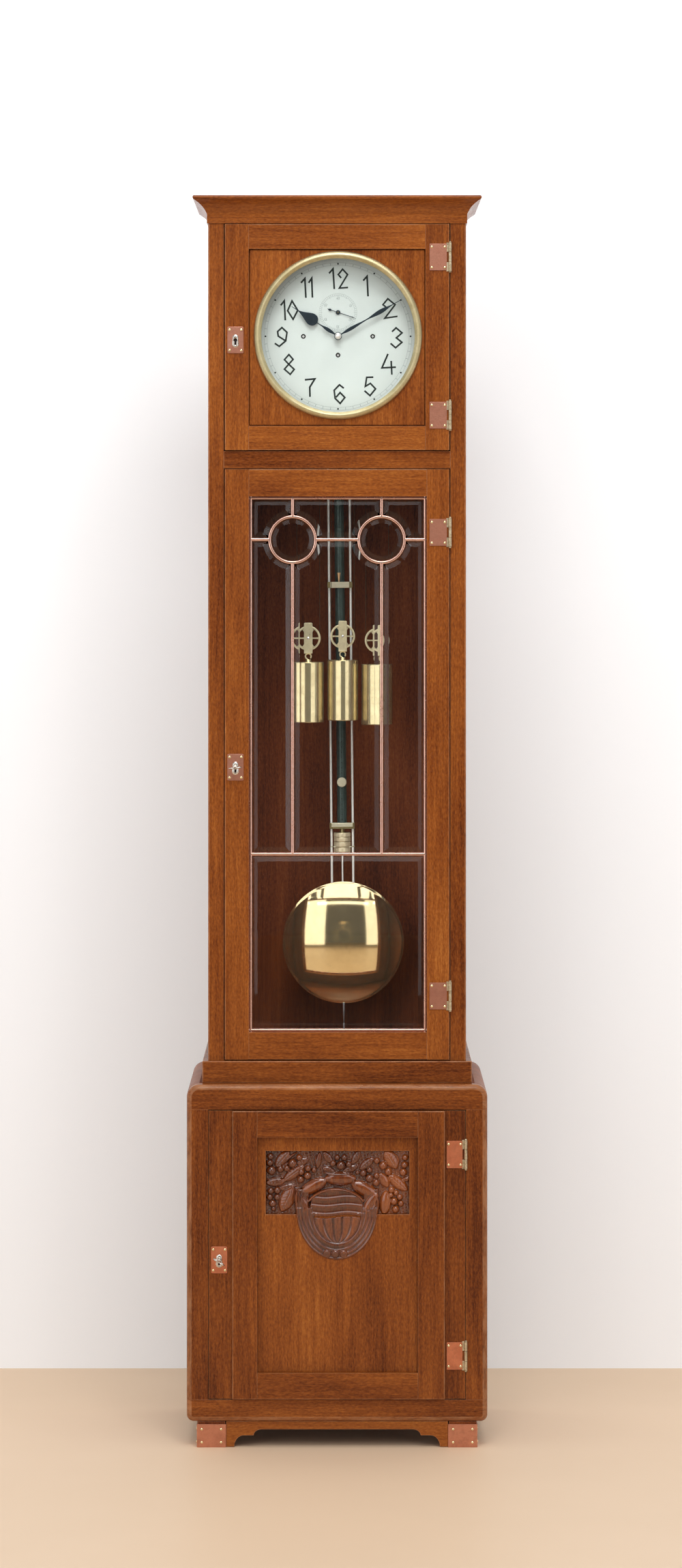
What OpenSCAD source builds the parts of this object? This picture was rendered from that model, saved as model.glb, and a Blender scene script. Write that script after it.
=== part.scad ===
// Longcase regulator clock: case with three doors, dial, hands, part movement,
// seconds pendulum, three weights on pulleys. Millimetres, +Z up, front faces -Y.
// The origin is on the floor, under the middle of the whole clock's box.
// Depths (d) are measured back from the front plane of the base.

/* [Case] */
// Width of the base cupboard
base_w = 480.5; // [476:0.5:484]
// Depth of the whole case, from the base's front plane to the back boards
case_d = 310; // [306:1:316]
// Width of the trunk
trunk_w = 414; // [412:0.5:418]
// Thickness of the side boards
board_t = 20; // [18:0.5:20]
// Width of the step between the trunk and the base
step_w = 432; // [428:0.5:440]
// How far the cornice stands out on each side of its fascia
cornice_out = 22.4; // [18:0.2:24]

/* [Doors] */
// Thickness of the door frames
door_t = 24; // [22:0.5:25]
// Gap between a door and its frame
door_gap = 1.6; // [1.4:0.1:1.8]
// Diameter of the hinge knuckles
knuckle_d = 5; // [4.6:0.1:5]
// How far each key stands out of its plate
key_out = 26; // [20:1:30]

/* [Dial] */
// Sideways place of the dial centre
dial_x = 1.5; // [0:0.1:2]
// Height of the dial centre
dial_z = 1777; // [1775:0.5:1779]
// Outer radius of the brass bezel
bezel_r = 135; // [133:0.5:136]
// Sight radius inside the bezel
sight_r = 123; // [121:0.5:124]
// Distance from the centre to each side winding hole
wind_x = 55.9; // [54:0.1:57]
// Minute hand angle, clockwise from twelve, in degrees
minute_a = 60.1; // [0:0.1:360]
// Hour hand angle, clockwise from twelve, in degrees
hour_a = 302.6; // [0:0.1:360]
// Seconds hand angle, clockwise from twelve, in degrees
second_a = 108.4; // [0:0.1:360]

/* [Pendulum] */
// Height of the bend of the suspension spring
pivot_z = 1841; // [1840:0.5:1842]
// Drop from the bend to the middle of the bob
bob_drop = 1053; // [1045:1:1056]
// Radius of the bob
bob_r = 100; // [96:0.5:102]
// How far the bob's front face bulges
bob_front = 21; // [14:1:42]
// How far the bob's back face bulges
bob_back = 18; // [14:1:26]
// Angle at which the swinging pendulum is drawn, in degrees to the right
swing_a = 0.55; // [-1:0.05:1]

/* [Weights] */
// Radius of each weight
weight_r = 25.25; // [24:0.25:26]
// Height of the bottom of the weights
weight_z = 1154.4; // [1150:0.5:1160]
// Height of each weight's shell
weight_h = 98.3; // [94:0.5:99]
// Radius of each barrel
barrel_r = 25.5; // [25:0.1:26]

/* [Hidden] */
$fn = 64;

yo = (case_d - key_out - 0.5) / 2;   // depth that lies on the origin
jg = 0.06;                           // hairline at each joint between boards
bw = base_w / 2;
tw = trunk_w / 2;
foot_z = 41.5;                       // underside of the case
base_top = 579;                      // top of the base, underside of the step
trunk_bot = 614;                     // top of the step
trunk_top = 1956.5;                  // underside of the cornice
frame_d = 34;                        // front of the trunk's stiles
frame_t = 22;                        // thickness of the front frames
door_d = 30;                         // front of the dial and trunk doors
door_x = 180.2;                      // half width of the dial and trunk doors
stile_in = door_x + door_gap;        // inner edge of the trunk's stiles
bdoor_x = 204.4;                     // half width of the base door
bstile_in = bdoor_x + door_gap;      // inner edge of the base's stiles
piv_x = door_x + door_gap / 2 + 0.2; // hinge axis of the dial and trunk doors
piv_d = door_d - 3;
bpiv_x = bdoor_x + door_gap / 2 + 0.2;
bpiv_d = -3;
dd0 = 1592.7; dd1 = 1955.3;          // dial door, bottom and top
td0 = 615.5;  td1 = 1562.2;          // trunk door
bd0 = 78.3;   bd1 = 538.1;           // base door
dial_d = 64;                         // front of the dial plate
wind = [[-wind_x, 0], [0, -30.2], [wind_x, 0]];
barrel_z = [dial_z, dial_z - 30.2, dial_z];
line_r = 0.6;
line_c = barrel_r + line_r + 0.1;          // line centre from the barrel centre
wheel_c = 18.6;                      // line centre from the pulley centre
pulley_z = 1291;
hang = [-1.2, 2, -4.8];               // each weight's height beside that, with its pulley
line_d = 115;                        // depth of the lines, pulleys and weights
wx = [for (i = [0:2]) dial_x + wind[i][0] + line_c - wheel_c];
pend_d = 200;                        // depth of the pendulum's plane

// ---------- helpers: x, depth and z to the part's own frame ----------
module bx(x0, x1, d0, d1, z0, z1) translate([x0, d0 - yo, z0]) cube([x1 - x0, d1 - d0, z1 - z0]);
module cy(x, z, d0, d1, r) translate([x, d0 - yo, z]) rotate([-90, 0, 0]) cylinder(r = r, h = d1 - d0);
module cz(x, d, z0, z1, r) translate([x, d - yo, z0]) cylinder(r = r, h = z1 - z0);
module cx(x0, x1, d, z, r) translate([x0, d - yo, z]) rotate([0, 90, 0]) cylinder(r = r, h = x1 - x0);
module prof_x(x0, x1) translate([x0, -yo, 0]) rotate([90, 0, 90]) linear_extrude(x1 - x0) children();
module prof_y(d0, d1) translate([0, d1 - yo, 0]) rotate([90, 0, 0]) linear_extrude(d1 - d0) children();
module turn_y(x, z, d = 0) translate([x, d - yo, z]) rotate([-90, 0, 0]) rotate_extrude() children();
module two() { children(); mirror([1, 0, 0]) children(); }
function arc(cx, cz, r, a0, a1, n = 8) = [for (i = [0:n]) let (a = a0 + (a1 - a0) * i / n) [cx + r * cos(a), cz + r * sin(a)]];
function outline(half) = concat(half, [for (i = [len(half) - 1:-1:0]) [-half[i][0], half[i][1]]]);

// ---------- case ----------
module base_side_panels() color("#7c3f1c") two() prof_y(frame_t, case_d)
  polygon(concat([[bw - board_t, foot_z]], arc(bw - 11, foot_z + 11, 11, -90, 0),
    arc(bw - 19.5, base_top - 19.5, 19.5, 0, 90), [[bw - board_t, base_top]]));

module base_front_frame() color("#8a4a22") {
  two() prof_y(0, frame_t)
    polygon(concat([[bstile_in, foot_z]], arc(bw - 11, foot_z + 11, 11, -90, 0),
      arc(bw - 20, base_top - 20, 20, 0, 90), [[bstile_in, base_top]]));
  bx(-bstile_in + jg, bstile_in - jg, 0, frame_t, bd1 + 1.4, base_top);
  bx(-bstile_in + jg, bstile_in - jg, 0, frame_t, foot_z, bd0 - 1.4);
}

module back_boards() color("#5c2d16") {
  bx(-(bw - board_t), bw - board_t, case_d - 12, case_d, foot_z, base_top);
  difference() {
    bx(-(tw - board_t), tw - board_t, case_d - 12, case_d, trunk_bot, trunk_top);
    for (x = [-120, 120]) cy(x, 1900, case_d - 13, case_d + 1, 3.5);
  }
}

// Floor and top of the base cupboard
module base_inner_boards() color("#6a3418") for (z = [foot_z, base_top - 16])
  bx(-(bw - board_t), bw - board_t, frame_t, case_d - 12, z, z + 16);

module plinth_step() color("#7c3f1c") bx(-step_w / 2, step_w / 2, 24, case_d, base_top, trunk_bot);

module trunk_side_panels() color("#7c3f1c") two() bx(tw - board_t, tw, frame_d + frame_t, case_d, trunk_bot, trunk_top);

module trunk_front_frame() color("#8a4a22") {
  two() bx(stile_in, tw, frame_d, frame_d + frame_t, trunk_bot, trunk_top);
  bx(-stile_in + jg, stile_in - jg, frame_d, frame_d + frame_t, td1 + 1.3, dd0 - 1.4);
}

// The cornice is one moulded top: an upright fascia, a shallow cove and a rounded nose
cove = [[0, 0], [0, 14.6], [1.4, 17.8], [3, 20.8], [5, 23.9], [7.5, 27], [10.2, 29.6], [12.8, 31.9],
  [15.5, 33.8], [18, 35.5], [20.4, 36.9], [21.7, 38.3], [22.4, 40], [22.2, 41.8], [21.2, 43], [19.6, 43.5]];
module cornice() color("#7c3f1c") intersection() {
  prof_y(0, case_d) polygon(outline([for (p = cove) [208.8 + p[0] * cornice_out / 22.4, trunk_top + p[1]]]));
  prof_x(-300, 300) polygon(concat([for (p = cove) [32 - p[0] * cornice_out / 22.4, trunk_top + p[1]]],
    [[case_d, trunk_top + 43.5], [case_d, trunk_top]]));
}

foot_x = 177.3;
foot_d = 3;                          // front of the feet
module feet() color("#6a3418") two() for (d = [foot_d, case_d - 46.8])
  bx(foot_x + 1.4, foot_x + 45.4, d + 1.4, d + 45.4, 1.4, foot_z);

// Bracket outline: u runs away from the foot, v runs up from the floor
bracket = concat([[0, 0], [13, 0]], [for (a = [0:15:90]) [13 + 15 * (1 - cos(a)), 18.7 * sin(a)]], [[44, 18.7]],
  [for (a = [15:15:90]) [44 + 13 * (1 - cos(a)), 18.7 + 9.7 * sin(a)]], [[57, foot_z], [0, foot_z]]);
module foot_brackets() color("#7c3f1c") {
  two() prof_y(foot_d + 2, foot_d + 20) polygon([for (p = bracket) [foot_x - p[0], p[1]]]);
  two() prof_x(foot_x + 26, foot_x + 45) polygon([for (p = bracket) [foot_d + 46.8 + p[0], p[1]]]);
  two() prof_x(foot_x + 26, foot_x + 45) polygon([for (p = bracket) [case_d - 46.8 - p[0], p[1]]]);
  bx(-(foot_x - 57) + jg, foot_x - 57 - jg, foot_d + 2, foot_d + 20, 28.4, foot_z);
  two() bx(foot_x + 26, foot_x + 45, foot_d + 46.8 + 57 + jg, case_d - 46.8 - 57 - jg, 28.4, foot_z);
  bx(-foot_x, foot_x, case_d - 22, case_d - 4, 24, foot_z);
}

// Copper shoes on the feet, each with four round-headed pins on its outer faces
module pin_head(r, h) rotate_extrude() polygon(concat([[0, 0]], [for (a = [0:15:90]) [r * cos(a), h * sin(a)]]));
module foot_caps() color("#c8785f") two() for (i = [0, 1]) let (d = i == 0 ? foot_d : case_d - 46.8) {
  difference() {
    bx(foot_x, foot_x + 46.8, d, d + 46.8, 0, 37);
    bx(foot_x + 1.4, foot_x + 45.4, d + 1.4, d + 45.4, 1.4, 40);
  }
  if (i == 0) for (u = [8, 38.8], v = [8, 29]) translate([foot_x + u, d - yo, v]) rotate([90, 0, 0]) pin_head(2.2, 1.3);
  for (u = [8, 38.8], v = [8, 29]) translate([foot_x + 46.8, d + u - yo, v]) rotate([0, 90, 0]) pin_head(2.2, 1.3);
}

// Hinges: [axis x, axis depth, plate centre x, plate width, plate height, plate front depth]
hinge_z = [[1902.3, 1648.7], [1460.8, 717.8], [468.2, 146.8]];
module case_leaf(px, pd, z) {
  difference() {
    union() { cz(px, pd, z - 8, z + 8, knuckle_d / 2); bx(px - 0.1, px + 0.5, pd, pd + 22, z - 8, z + 8); }
    cz(px, pd, z - 9, z + 9, 1.25);
  }
  cz(px, pd, z - 23, z + 23, 1.25);
  for (s = [0, 1]) translate([px, pd - yo, z]) mirror([0, 0, s]) translate([0, 0, 23]) union() {
    cylinder(r = 1.25, h = 0.6);
    translate([0, 0, 0.4]) rotate_extrude() polygon([[0, 0], [2.1, 0.3], [2.4, 0.9], [1.9, 1.5], [0, 1.8]]);
  }
}
module case_hinge_leaves() color("#b8a060") {
  for (i = [0, 1], z = hinge_z[i]) case_leaf(piv_x, piv_d, z);
  for (z = hinge_z[2]) case_leaf(bpiv_x, bpiv_d, z);
}
// Door leaf: a plate on the face of the door, two knuckles and four pins
module door_leaf(px, pd, cxp, w, h, fd, z, pu) {
  difference() {
    union() {
      bx(cxp - w / 2, cxp + w / 2, fd - 1.5, fd, z - h / 2, z + h / 2);
      for (s = [-1, 1]) {
        cz(px, pd, z + s * 15.65 - 7.35, z + s * 15.65 + 7.35, knuckle_d / 2);
        bx(cxp + w / 2 - 1, px - 0.5, fd - 1.5, fd, z + s * 15.65 - 7.35, z + s * 15.65 + 7.35);
      }
      for (u = [-pu, pu], v = [-16.5, 16.5])
        translate([cxp + u, fd - 1.5 - yo, z + v]) rotate([90, 0, 0]) pin_head(2.2, 1.3);
    }
    cz(px, pd, z - 24, z + 24, 1.3);
  }
}

// ---------- movement, dial and what carries them ----------
mz0 = dial_z - 78; mz1 = dial_z + 76;            // movement plates, bottom and top
mp1 = 84; mp2 = 150;                             // front and back plate, front faces
anchor_z = pivot_z;
module seat_board() color("#6a3418") {
  difference() {
    bx(-(tw - board_t), tw - board_t, 72, 178, mz0 - 20, mz0 - 0.2);
    for (i = [0:2]) {
      bx(dial_x + wind[i][0] + line_c - 4, dial_x + wind[i][0] + line_c + 4, line_d - 18, line_d + 18, mz0 - 21, mz0 + 1);
      cz(wx[i] - wheel_c, line_d, mz0 - 21, mz0 + 1, 1.4);
    }
  }
  two() bx(tw - board_t - 20, tw - board_t, 72, 178, mz0 - 50, mz0 - 20);
}

module movement_frame() color("#b8a060") {
  for (p = [mp1, mp2]) difference() {
    bx(dial_x - 98, dial_x + 98, p, p + 3, mz0, mz1);
    for (i = [0:2]) cy(dial_x + wind[i][0], dial_z + wind[i][1], p - 1, p + 4, 3.05);
    cy(dial_x, dial_z, p - 1, p + 4, 1.55);
    cy(dial_x, dial_z + 38.5, p - 1, p + 4, 1.05);
    cy(0, anchor_z, p - 1, p + 4, 1.55);
    cy(-84, dial_z - 56, p - 1, p + 4, 1.55);
  }
  for (x = [-90, 90], z = [mz0 + 8, mz1 - 8]) cy(dial_x + x, z, mp1 + 3 + jg, mp2 - jg, 4.5);
}

module dial_plate() color("#cfd8d5") {
  difference() {
    cy(dial_x, dial_z, dial_d, dial_d + 2, 129);
    for (i = [0:2]) cy(dial_x + wind[i][0], dial_z + wind[i][1], dial_d - 1, dial_d + 3, 3.9);
    cy(dial_x, dial_z, dial_d - 1, dial_d + 3, 4.3);
    cy(dial_x, dial_z + 38.5, dial_d - 1, dial_d + 3, 2);
  }
  for (a = [45:90:315]) cy(dial_x + 96 * cos(a), dial_z + 60 * sin(a), dial_d + 2, mp1, 3.5);
}

module suspension_cock() color("#b8a060") {
  // A plate on the back board, with an arm on each side of the spring's block
  bx(-32, 32, case_d - 18, case_d - 12, pivot_z - 10, pivot_z + 60);
  for (s = [-1, 1]) bx(s * 17 - 5, s * 17 + 5, pend_d - 8, case_d - 18, pivot_z + 18, pivot_z + 34);
  cx(-26, 26, pend_d, pivot_z + 26, 1.6);
  // The spring's upper block and the half of the spring above the bend
  bx(-10, 10, pend_d - 4, pend_d + 4, pivot_z + 20, pivot_z + 32);
  bx(-7, 7, pend_d - 0.2, pend_d + 0.2, pivot_z + 0.5, pivot_z + 20);
}

// Flat coil gong: half turns whose centres alternate, on a block on the back board
gong_x = -36.6; gong_z = 1664; gong_d = 250;
module gong() color("#8f9398") {
  for (k = [0:6]) translate([gong_x + (k % 2) * 3.5, gong_d - yo, gong_z]) rotate([90, k % 2 == 0 ? 0 : 180, 0])
    rotate_extrude(angle = 180) translate([14 + k * 3.5, 0]) circle(1.4);
  bx(gong_x + 32, gong_x + 42, gong_d - 4, case_d - 12, gong_z - 12, gong_z - 0.5);
}

module strike_hammer() color("#9c8550") {
  cy(-84, dial_z - 56, mp1 - 1, gong_d + 3, 1.5);
  difference() {
    union() { bx(-86, -82, gong_d - 3, gong_d + 3, 1668, dial_z - 53); cx(-92, -74, gong_d, 1664, 5); }
    cy(-84, dial_z - 56, mp1 - 2, gong_d + 6, 1.5 + jg);
  }
}

// Lines: one strand up to the barrel, one to the seat board, and a half turn under the wheel
module line(i) color("#d9c9a0") {
  cz(wx[i] + wheel_c, line_d, pulley_z + hang[i], dial_z + wind[i][1], line_r);
  cz(wx[i] - wheel_c, line_d, pulley_z + hang[i], mz0 + 2, line_r);
  translate([wx[i], line_d - yo, pulley_z + hang[i]]) rotate([-90, 0, 0]) rotate_extrude(angle = 180) translate([wheel_c, 0]) circle(line_r);
}
module line_left() line(0);
module line_centre() line(1);
module line_right() line(2);

// Barrel on its arbor, with its winding square behind the dial
module barrel(i) color("#b8a060") turn_barrel(i);
module turn_barrel(i) translate([dial_x + wind[i][0], 0, dial_z + wind[i][1]]) {
  cy(0, 0, mp1 - 2, mp2 + 5, 3);
  cy(0, 0, 96, 134, barrel_r);
  cy(0, 0, 93, 96, 27.5);
  cy(0, 0, 134, 137, 27.5);
  translate([-2.1, dial_d + 1 - yo, -2.1]) cube([4.2, mp1 - dial_d - 1, 4.2]);
}
module barrel_left() barrel(0);
module barrel_centre() barrel(1);
module barrel_right() barrel(2);

// Hand outlines: [distance from the centre, half width]
minute_o = [[6, 0.8], [10, 1.3], [16, 2.2], [22, 2.7], [28, 2.6], [36, 2], [44, 1.3], [52, 0.95], [58, 1.2], [66, 2.3],
  [73, 3.2], [79, 3.5], [85, 3.1], [92, 1.9], [98, 1], [103, 0.6], [117.4, 0.4]];
hour_o = [[6, 0.9], [11, 2], [17, 2.9], [22, 2.7], [28, 1.5], [33, 0.9], [39.4, 0.8], [40, 2.4], [41.2, 5], [43, 7.2],
  [45.5, 8.9], [48.5, 9.7], [51.5, 9.7], [55, 8.8], [60, 6.6], [65, 4.3], [70, 2.4], [74, 1.2], [77, 0.7], [88.6, 0.4]];
second_o = [[-18, 0.3], [-15.8, 0.9], [-13.6, 2], [-11.4, 0.9], [-9, 0.5], [-3, 0.5], [3, 0.55], [22, 0.5], [24, 1], [26, 0.5], [30, 0.3]];
module hand(o, a, z, d0, d1) translate([dial_x, 0, z]) rotate([0, a, 0]) prof_y(d0, d1)
  polygon(concat([for (p = o) [p[1], p[0]]], [for (i = [len(o) - 1:-1:0]) [-o[i][1], o[i][0]]]));
module minute_hand() color("#2b3b49") {
  difference() {
    union() { cy(dial_x, dial_z, 53.2, 54.4, 6.4); hand(minute_o, minute_a, dial_z, 53.2, 54.2); }
    cy(dial_x, dial_z, 50, 58, 1.5 + jg);
  }
  cy(dial_x, dial_z, 53.2, mp2 + 4, 1.5);
  turn_y(dial_x, dial_z) polygon([[0, 48.6], [2.4, 49], [4.2, 50.2], [5.2, 51.8], [5.4, 53.2 - jg], [0, 53.2 - jg]]);
}
module hour_hand() color("#2b3b49") difference() {
  union() { cy(dial_x, dial_z, 57, 58.2, 6.2); hand(hour_o, hour_a, dial_z, 57, 58); cy(dial_x, dial_z, 58.2 + jg, mp1 - 4, 3.6); }
  cy(dial_x, dial_z, 50, 90, 1.55);
}
module seconds_hand() color("#2b3b49") difference() {
  union() { cy(dial_x, dial_z + 38.5, 61, 63, 3.6); hand(second_o, second_a, dial_z + 38.5, 61.4, 62); }
  cy(dial_x, dial_z + 38.5, 60.5, 65, 1 + jg);
}

// Escape wheel of 30 teeth on the seconds arbor
esc_r = 17.5;
module escape_wheel() color("#b8a060") {
  cy(dial_x, dial_z + 38.5, 60.6, mp2 + 4, 1);
  difference() {
    translate([dial_x, 0, dial_z + 38.5]) prof_y(110, 112)
      polygon([for (t = [0:29]) each [[esc_r * sin(t * 12), esc_r * cos(t * 12)],
        [(esc_r - 2.6) * sin(t * 12 + 2.5), (esc_r - 2.6) * cos(t * 12 + 2.5)],
        [(esc_r - 2.6) * sin(t * 12 + 9.5), (esc_r - 2.6) * cos(t * 12 + 9.5)]]]);
    for (a = [45:90:315]) cy(dial_x + 9.5 * cos(a), dial_z + 38.5 + 9.5 * sin(a), 109, 113, 4.6);
    cy(dial_x, dial_z + 38.5, 109, 113, 1 + jg);
  }
}

// Anchor on its arbor with the crutch, whose fork spans the pendulum's tube
module anchor() color("#8f9398") {
  cy(0, anchor_z, mp1 - 1, pend_d - 11, 1.5);
  difference() {
    translate([0, 0, anchor_z]) prof_y(109, 113) polygon(outline([[0, 4.5], [5, 2.5], [14, -3], [17.5, -10], [17.5, -12.6], [14.8, -12.6], [13.2, -7], [4, -1.8], [0, -3.5]]));
    cy(0, anchor_z, 108, 114, 1.5 + jg);
  }
  rotate_swing() prof_y(pend_d - 16, pend_d - 13) difference() {
    union() { circle(5); translate([-3, -92]) square([6, 92]); translate([-14, -96]) square([28, 8]); }
    circle(1.5 + jg);
  }
  for (s = [-1, 1]) rotate_swing() cy(s * 11.4, -92, pend_d - 13 + jg, pend_d + 6, 1.4);
}
// Places a piece that hangs below the pivot, at the drawn swing
module rotate_swing() translate([0, 0, pivot_z]) rotate([0, -swing_a, 0]) children();

// ---------- pendulum, drawn about its pivot (z = 0 at the bend) ----------
rod_x = 17.6;
bz = -bob_drop;
function hz(z) = z - pivot_z;
module pendulum_rods() color("#b9bcc0") rotate_swing() {
  for (s = [-1, 1]) cz(s * rod_x, pend_d, hz(886), -34, 2);
  cz(0, pend_d, hz(888.2), hz(938.6), 1.35);
}
module pendulum_tube() color("#3c5550") rotate_swing() cz(0, pend_d, hz(985), -34, 8);
module pendulum_fittings() color("#b8a060") rotate_swing() {
  // Lower block and the half of the spring below the bend
  bx(-22, 22, pend_d - 6, pend_d + 6, -34, -22);
  bx(-7, 7, pend_d - 0.2, pend_d + 0.2, -22, -0.5);
  // Upper cross-bar with its cone
  difference() {
    bx(-20.5, 20.5, pend_d - 15, pend_d + 5, hz(1371), hz(1381));
    for (s = [-1, 1]) cz(s * rod_x, pend_d, hz(1370), hz(1382), 2.03);
    cz(0, pend_d, hz(1370), hz(1382), 8.03);
  }
  translate([-1.4, pend_d - 11.6 - yo, hz(1381)]) cylinder(r1 = 1, r2 = 3, h = 15);
  // Round knob on the tube's front
  difference() {
    translate([0, 0, hz(1052)]) turn_y(0, 0) polygon([[0, pend_d - 13], [7.3, pend_d - 12.8], [8, pend_d - 12], [8, pend_d - 9.5], [4, pend_d - 8], [4, pend_d - 4], [0, pend_d - 4]]);
    cz(0, pend_d, hz(1040), hz(1064), 8.03);
  }
  // Lower cross-bar, rating nuts, lower bar
  difference() {
    bx(-20.5, 20.5, pend_d - 8, pend_d + 5, hz(975), hz(985));
    for (s = [-1, 1]) cz(s * rod_x, pend_d, hz(974), hz(986), 2.03);
  }
  cz(0, pend_d, hz(969), hz(975.6), 4);
  for (z = [961.6, 954, 946.2]) cz(0, pend_d, hz(z), hz(z + 7.2), 13.5);
  for (z = [968.8, 961.2, 953.4]) cz(0, pend_d, hz(z), hz(z + 0.4), 10);
  difference() {
    bx(-20.5, 20.5, pend_d - 7, pend_d + 5, hz(938.6), hz(946.2));
    for (s = [-1, 1]) cz(s * rod_x, pend_d, hz(938), hz(947), 2.03);
  }
  // Pointer below the bob
  translate([0, pend_d - yo, bz]) rotate_extrude() polygon([[0, -142], [1.6, -141], [2.6, -138], [2.2, -135], [1.6, -133], [2.4, -128], [4, -112], [4.4, -99], [0, -99]]);
}
// Bob: two shallow domes back to back, drilled for the rods and for the pointer
fs = (bob_r * bob_r + bob_front * bob_front) / (2 * bob_front);
bs = (bob_r * bob_r + bob_back * bob_back) / (2 * bob_back);
function dome(r, h, n) = [for (i = [0:n]) let (R = (r * r + h * h) / (2 * h), a = asin(r / R) * i / n) [R * sin(a), R - h - R * cos(a)]];
module pendulum_bob() color("#cfae62") rotate_swing() difference() {
  translate([0, 0, bz]) turn_y(0, 0, pend_d)
    polygon(concat(dome(bob_r, bob_front, 24), [for (i = [24:-1:0]) let (p = dome(bob_r, bob_back, 24)[i]) [p[0], -p[1] + 0.8]]));
  for (s = [-1, 1]) cz(s * rod_x, pend_d, bz + 97, bz + 110, 2);
  cz(0, pend_d, bz - 110, bz - 98.9, 4.6);
}

// ---------- weights with their cradles, and the pulley wheels ----------
module weight(i) color("#c9ae68") translate([wx[i], 0, hang[i]]) {
  // Shell with rounded rims, and its eye
  translate([0, line_d - yo, weight_z]) rotate_extrude() polygon([[0, 0], [weight_r - 1.5, 0], [weight_r, 1.5],
    [weight_r, weight_h - 1.5], [weight_r - 1.5, weight_h], [0, weight_h]]);
  cz(0, line_d, weight_z + weight_h, weight_z + weight_h + 4, 5);
  // Hook of round wire
  translate([0, line_d - yo, 1261.6]) rotate([90, 0, 0]) rotate_extrude() translate([4.6, 0]) circle(1.3);
  // Cradle: two cheeks joined by a foot, with a pin for the wheel
  for (s = [-1, 1]) bx(-6.8, 6.8, line_d + s * 5.2 - 0.7, line_d + s * 5.2 + 0.7, 1268, 1316);
  bx(-6.8, 6.8, line_d - 5.9, line_d + 5.9, 1266, 1268);
  cy(0, pulley_z, line_d - 7.2, line_d + 7.2, 1.95);
}
module weight_left() weight(0);
module weight_centre() weight(1);
module weight_right() weight(2);

module pulley(i) color("#c9ae68") difference() {
  turn_y(wx[i], pulley_z + hang[i], line_d) polygon([[2, -3.8], [4.5, -3.8], [4.5, -1.6], [15, -1.6], [15, -2.6], [20, -2.6],
    [20, -1.9], [17.9, -0.5], [17.9, 0.5], [20, 1.9], [20, 2.6], [15, 2.6], [15, 1.6], [4.5, 1.6], [4.5, 3.8], [2, 3.8]]);
  for (a = [0:60:300]) cy(wx[i] + 9.7 * sin(a), pulley_z + hang[i] + 9.7 * cos(a), line_d - 3, line_d + 3, 3.7);
}
module pulley_left() pulley(0);
module pulley_centre() pulley(1);
module pulley_right() pulley(2);

// ---------- dial door ----------
module frame_boards(x0, x1, z0, z1, ix0, ix1, iz0, iz1, d0, d1) {
  bx(x0, ix0, d0, d1, z0, z1);
  bx(ix1, x1, d0, d1, z0, z1);
  bx(ix0 + jg, ix1 - jg, d0, d1, iz1, z1);
  bx(ix0 + jg, ix1 - jg, d0, d1, z0, iz0);
}
lock_x = -163; dlock_z = 1769.3; tlock_z = 1084.5; block_z = 300; block_x = -188.2;
module dial_door_frame() color("#8a4a22") difference() {
  frame_boards(-door_x, door_x, dd0, dd1, -141.8, 141.8, 1631.5, 1915.5, door_d, door_d + door_t);
  keyhole(lock_x, dlock_z, door_d - 1, door_d + door_t + 1);
}
module dial_door_panel() color("#7c3f1c") difference() {
  bx(-141.8 + jg, 141.8 - jg, 33.5, 46, 1631.5 + jg, 1915.5 - jg);
  cy(dial_x, dial_z, 33, 47, 128);
}
module dial_bezel() color("#b8a060") turn_y(dial_x, dial_z)
  polygon([[bezel_r, 33.5], [bezel_r, 31], [bezel_r - 1.6, 27.3], [bezel_r - 4.6, 24.9], [bezel_r - 7, 24.7], [sight_r + 2, 26.7],
    [sight_r, 29.5], [sight_r, 31], [125.8, 31], [125.8, 44], [127.9, 44], [127.9, 33.5]]);
module dial_glass() color("#dfeceb", 0.35) cy(dial_x, dial_z, 31, 33.5, 125.7);
module plates(px, pd, cxp, w, h, fd, zs, pu) for (z = zs) door_leaf(px, pd, cxp, w, h, fd, z, pu);
module dial_door_hinges() color("#c8785f") plates(piv_x, piv_d, 162.3, 28, 43, door_d, hinge_z[0], 10.4);

// Rim lock behind the door with its keyhole plate in front
module lock(x, z, fd, bd) {
  // keyhole plate, drop-shaped rim round the keyhole, and four pins
  difference() {
    union() {
      bx(x - 13, x + 13, fd - 1.5, fd, z - 21.5, z + 21.5);
      translate([x, 0, z - 1]) prof_y(fd - 3, fd - 1.5) polygon(concat(arc(0, 5, 4.6, 0, 180, 12), arc(0, -6, 5.2, 180, 360, 12)));
      for (u = [-9.4, 9.4], v = [-16.5, 16.5]) translate([x + u, fd - 1.5 - yo, z + v]) rotate([90, 0, 0]) pin_head(2.2, 1.3);
    }
    keyhole(x, z, fd - 4, fd + 1);
  }
  // case
  difference() {
    bx(x - 14, x + 20, bd, bd + 13, z - 24, z + 26);
    bx(x - 15, x + 18, bd + 2, bd + 11, z + 9.4, z + 20.6);
    bx(x - 12, x + 12, bd + 2, bd + 11, z - 12, z + 9.4);
    keyhole(x, z, bd - 1, bd + 2.5);
  }
}
module keyhole(x, z, d0, d1) { cy(x, z, d0, d1, 2.7); bx(x - 1.5, x + 1.5, d0, d1, z - 8.2, z); }
module bolt(x, z, bd) bx(x - 13.5, x + 13, bd + 3, bd + 9, z + 10, z + 20);
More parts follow.
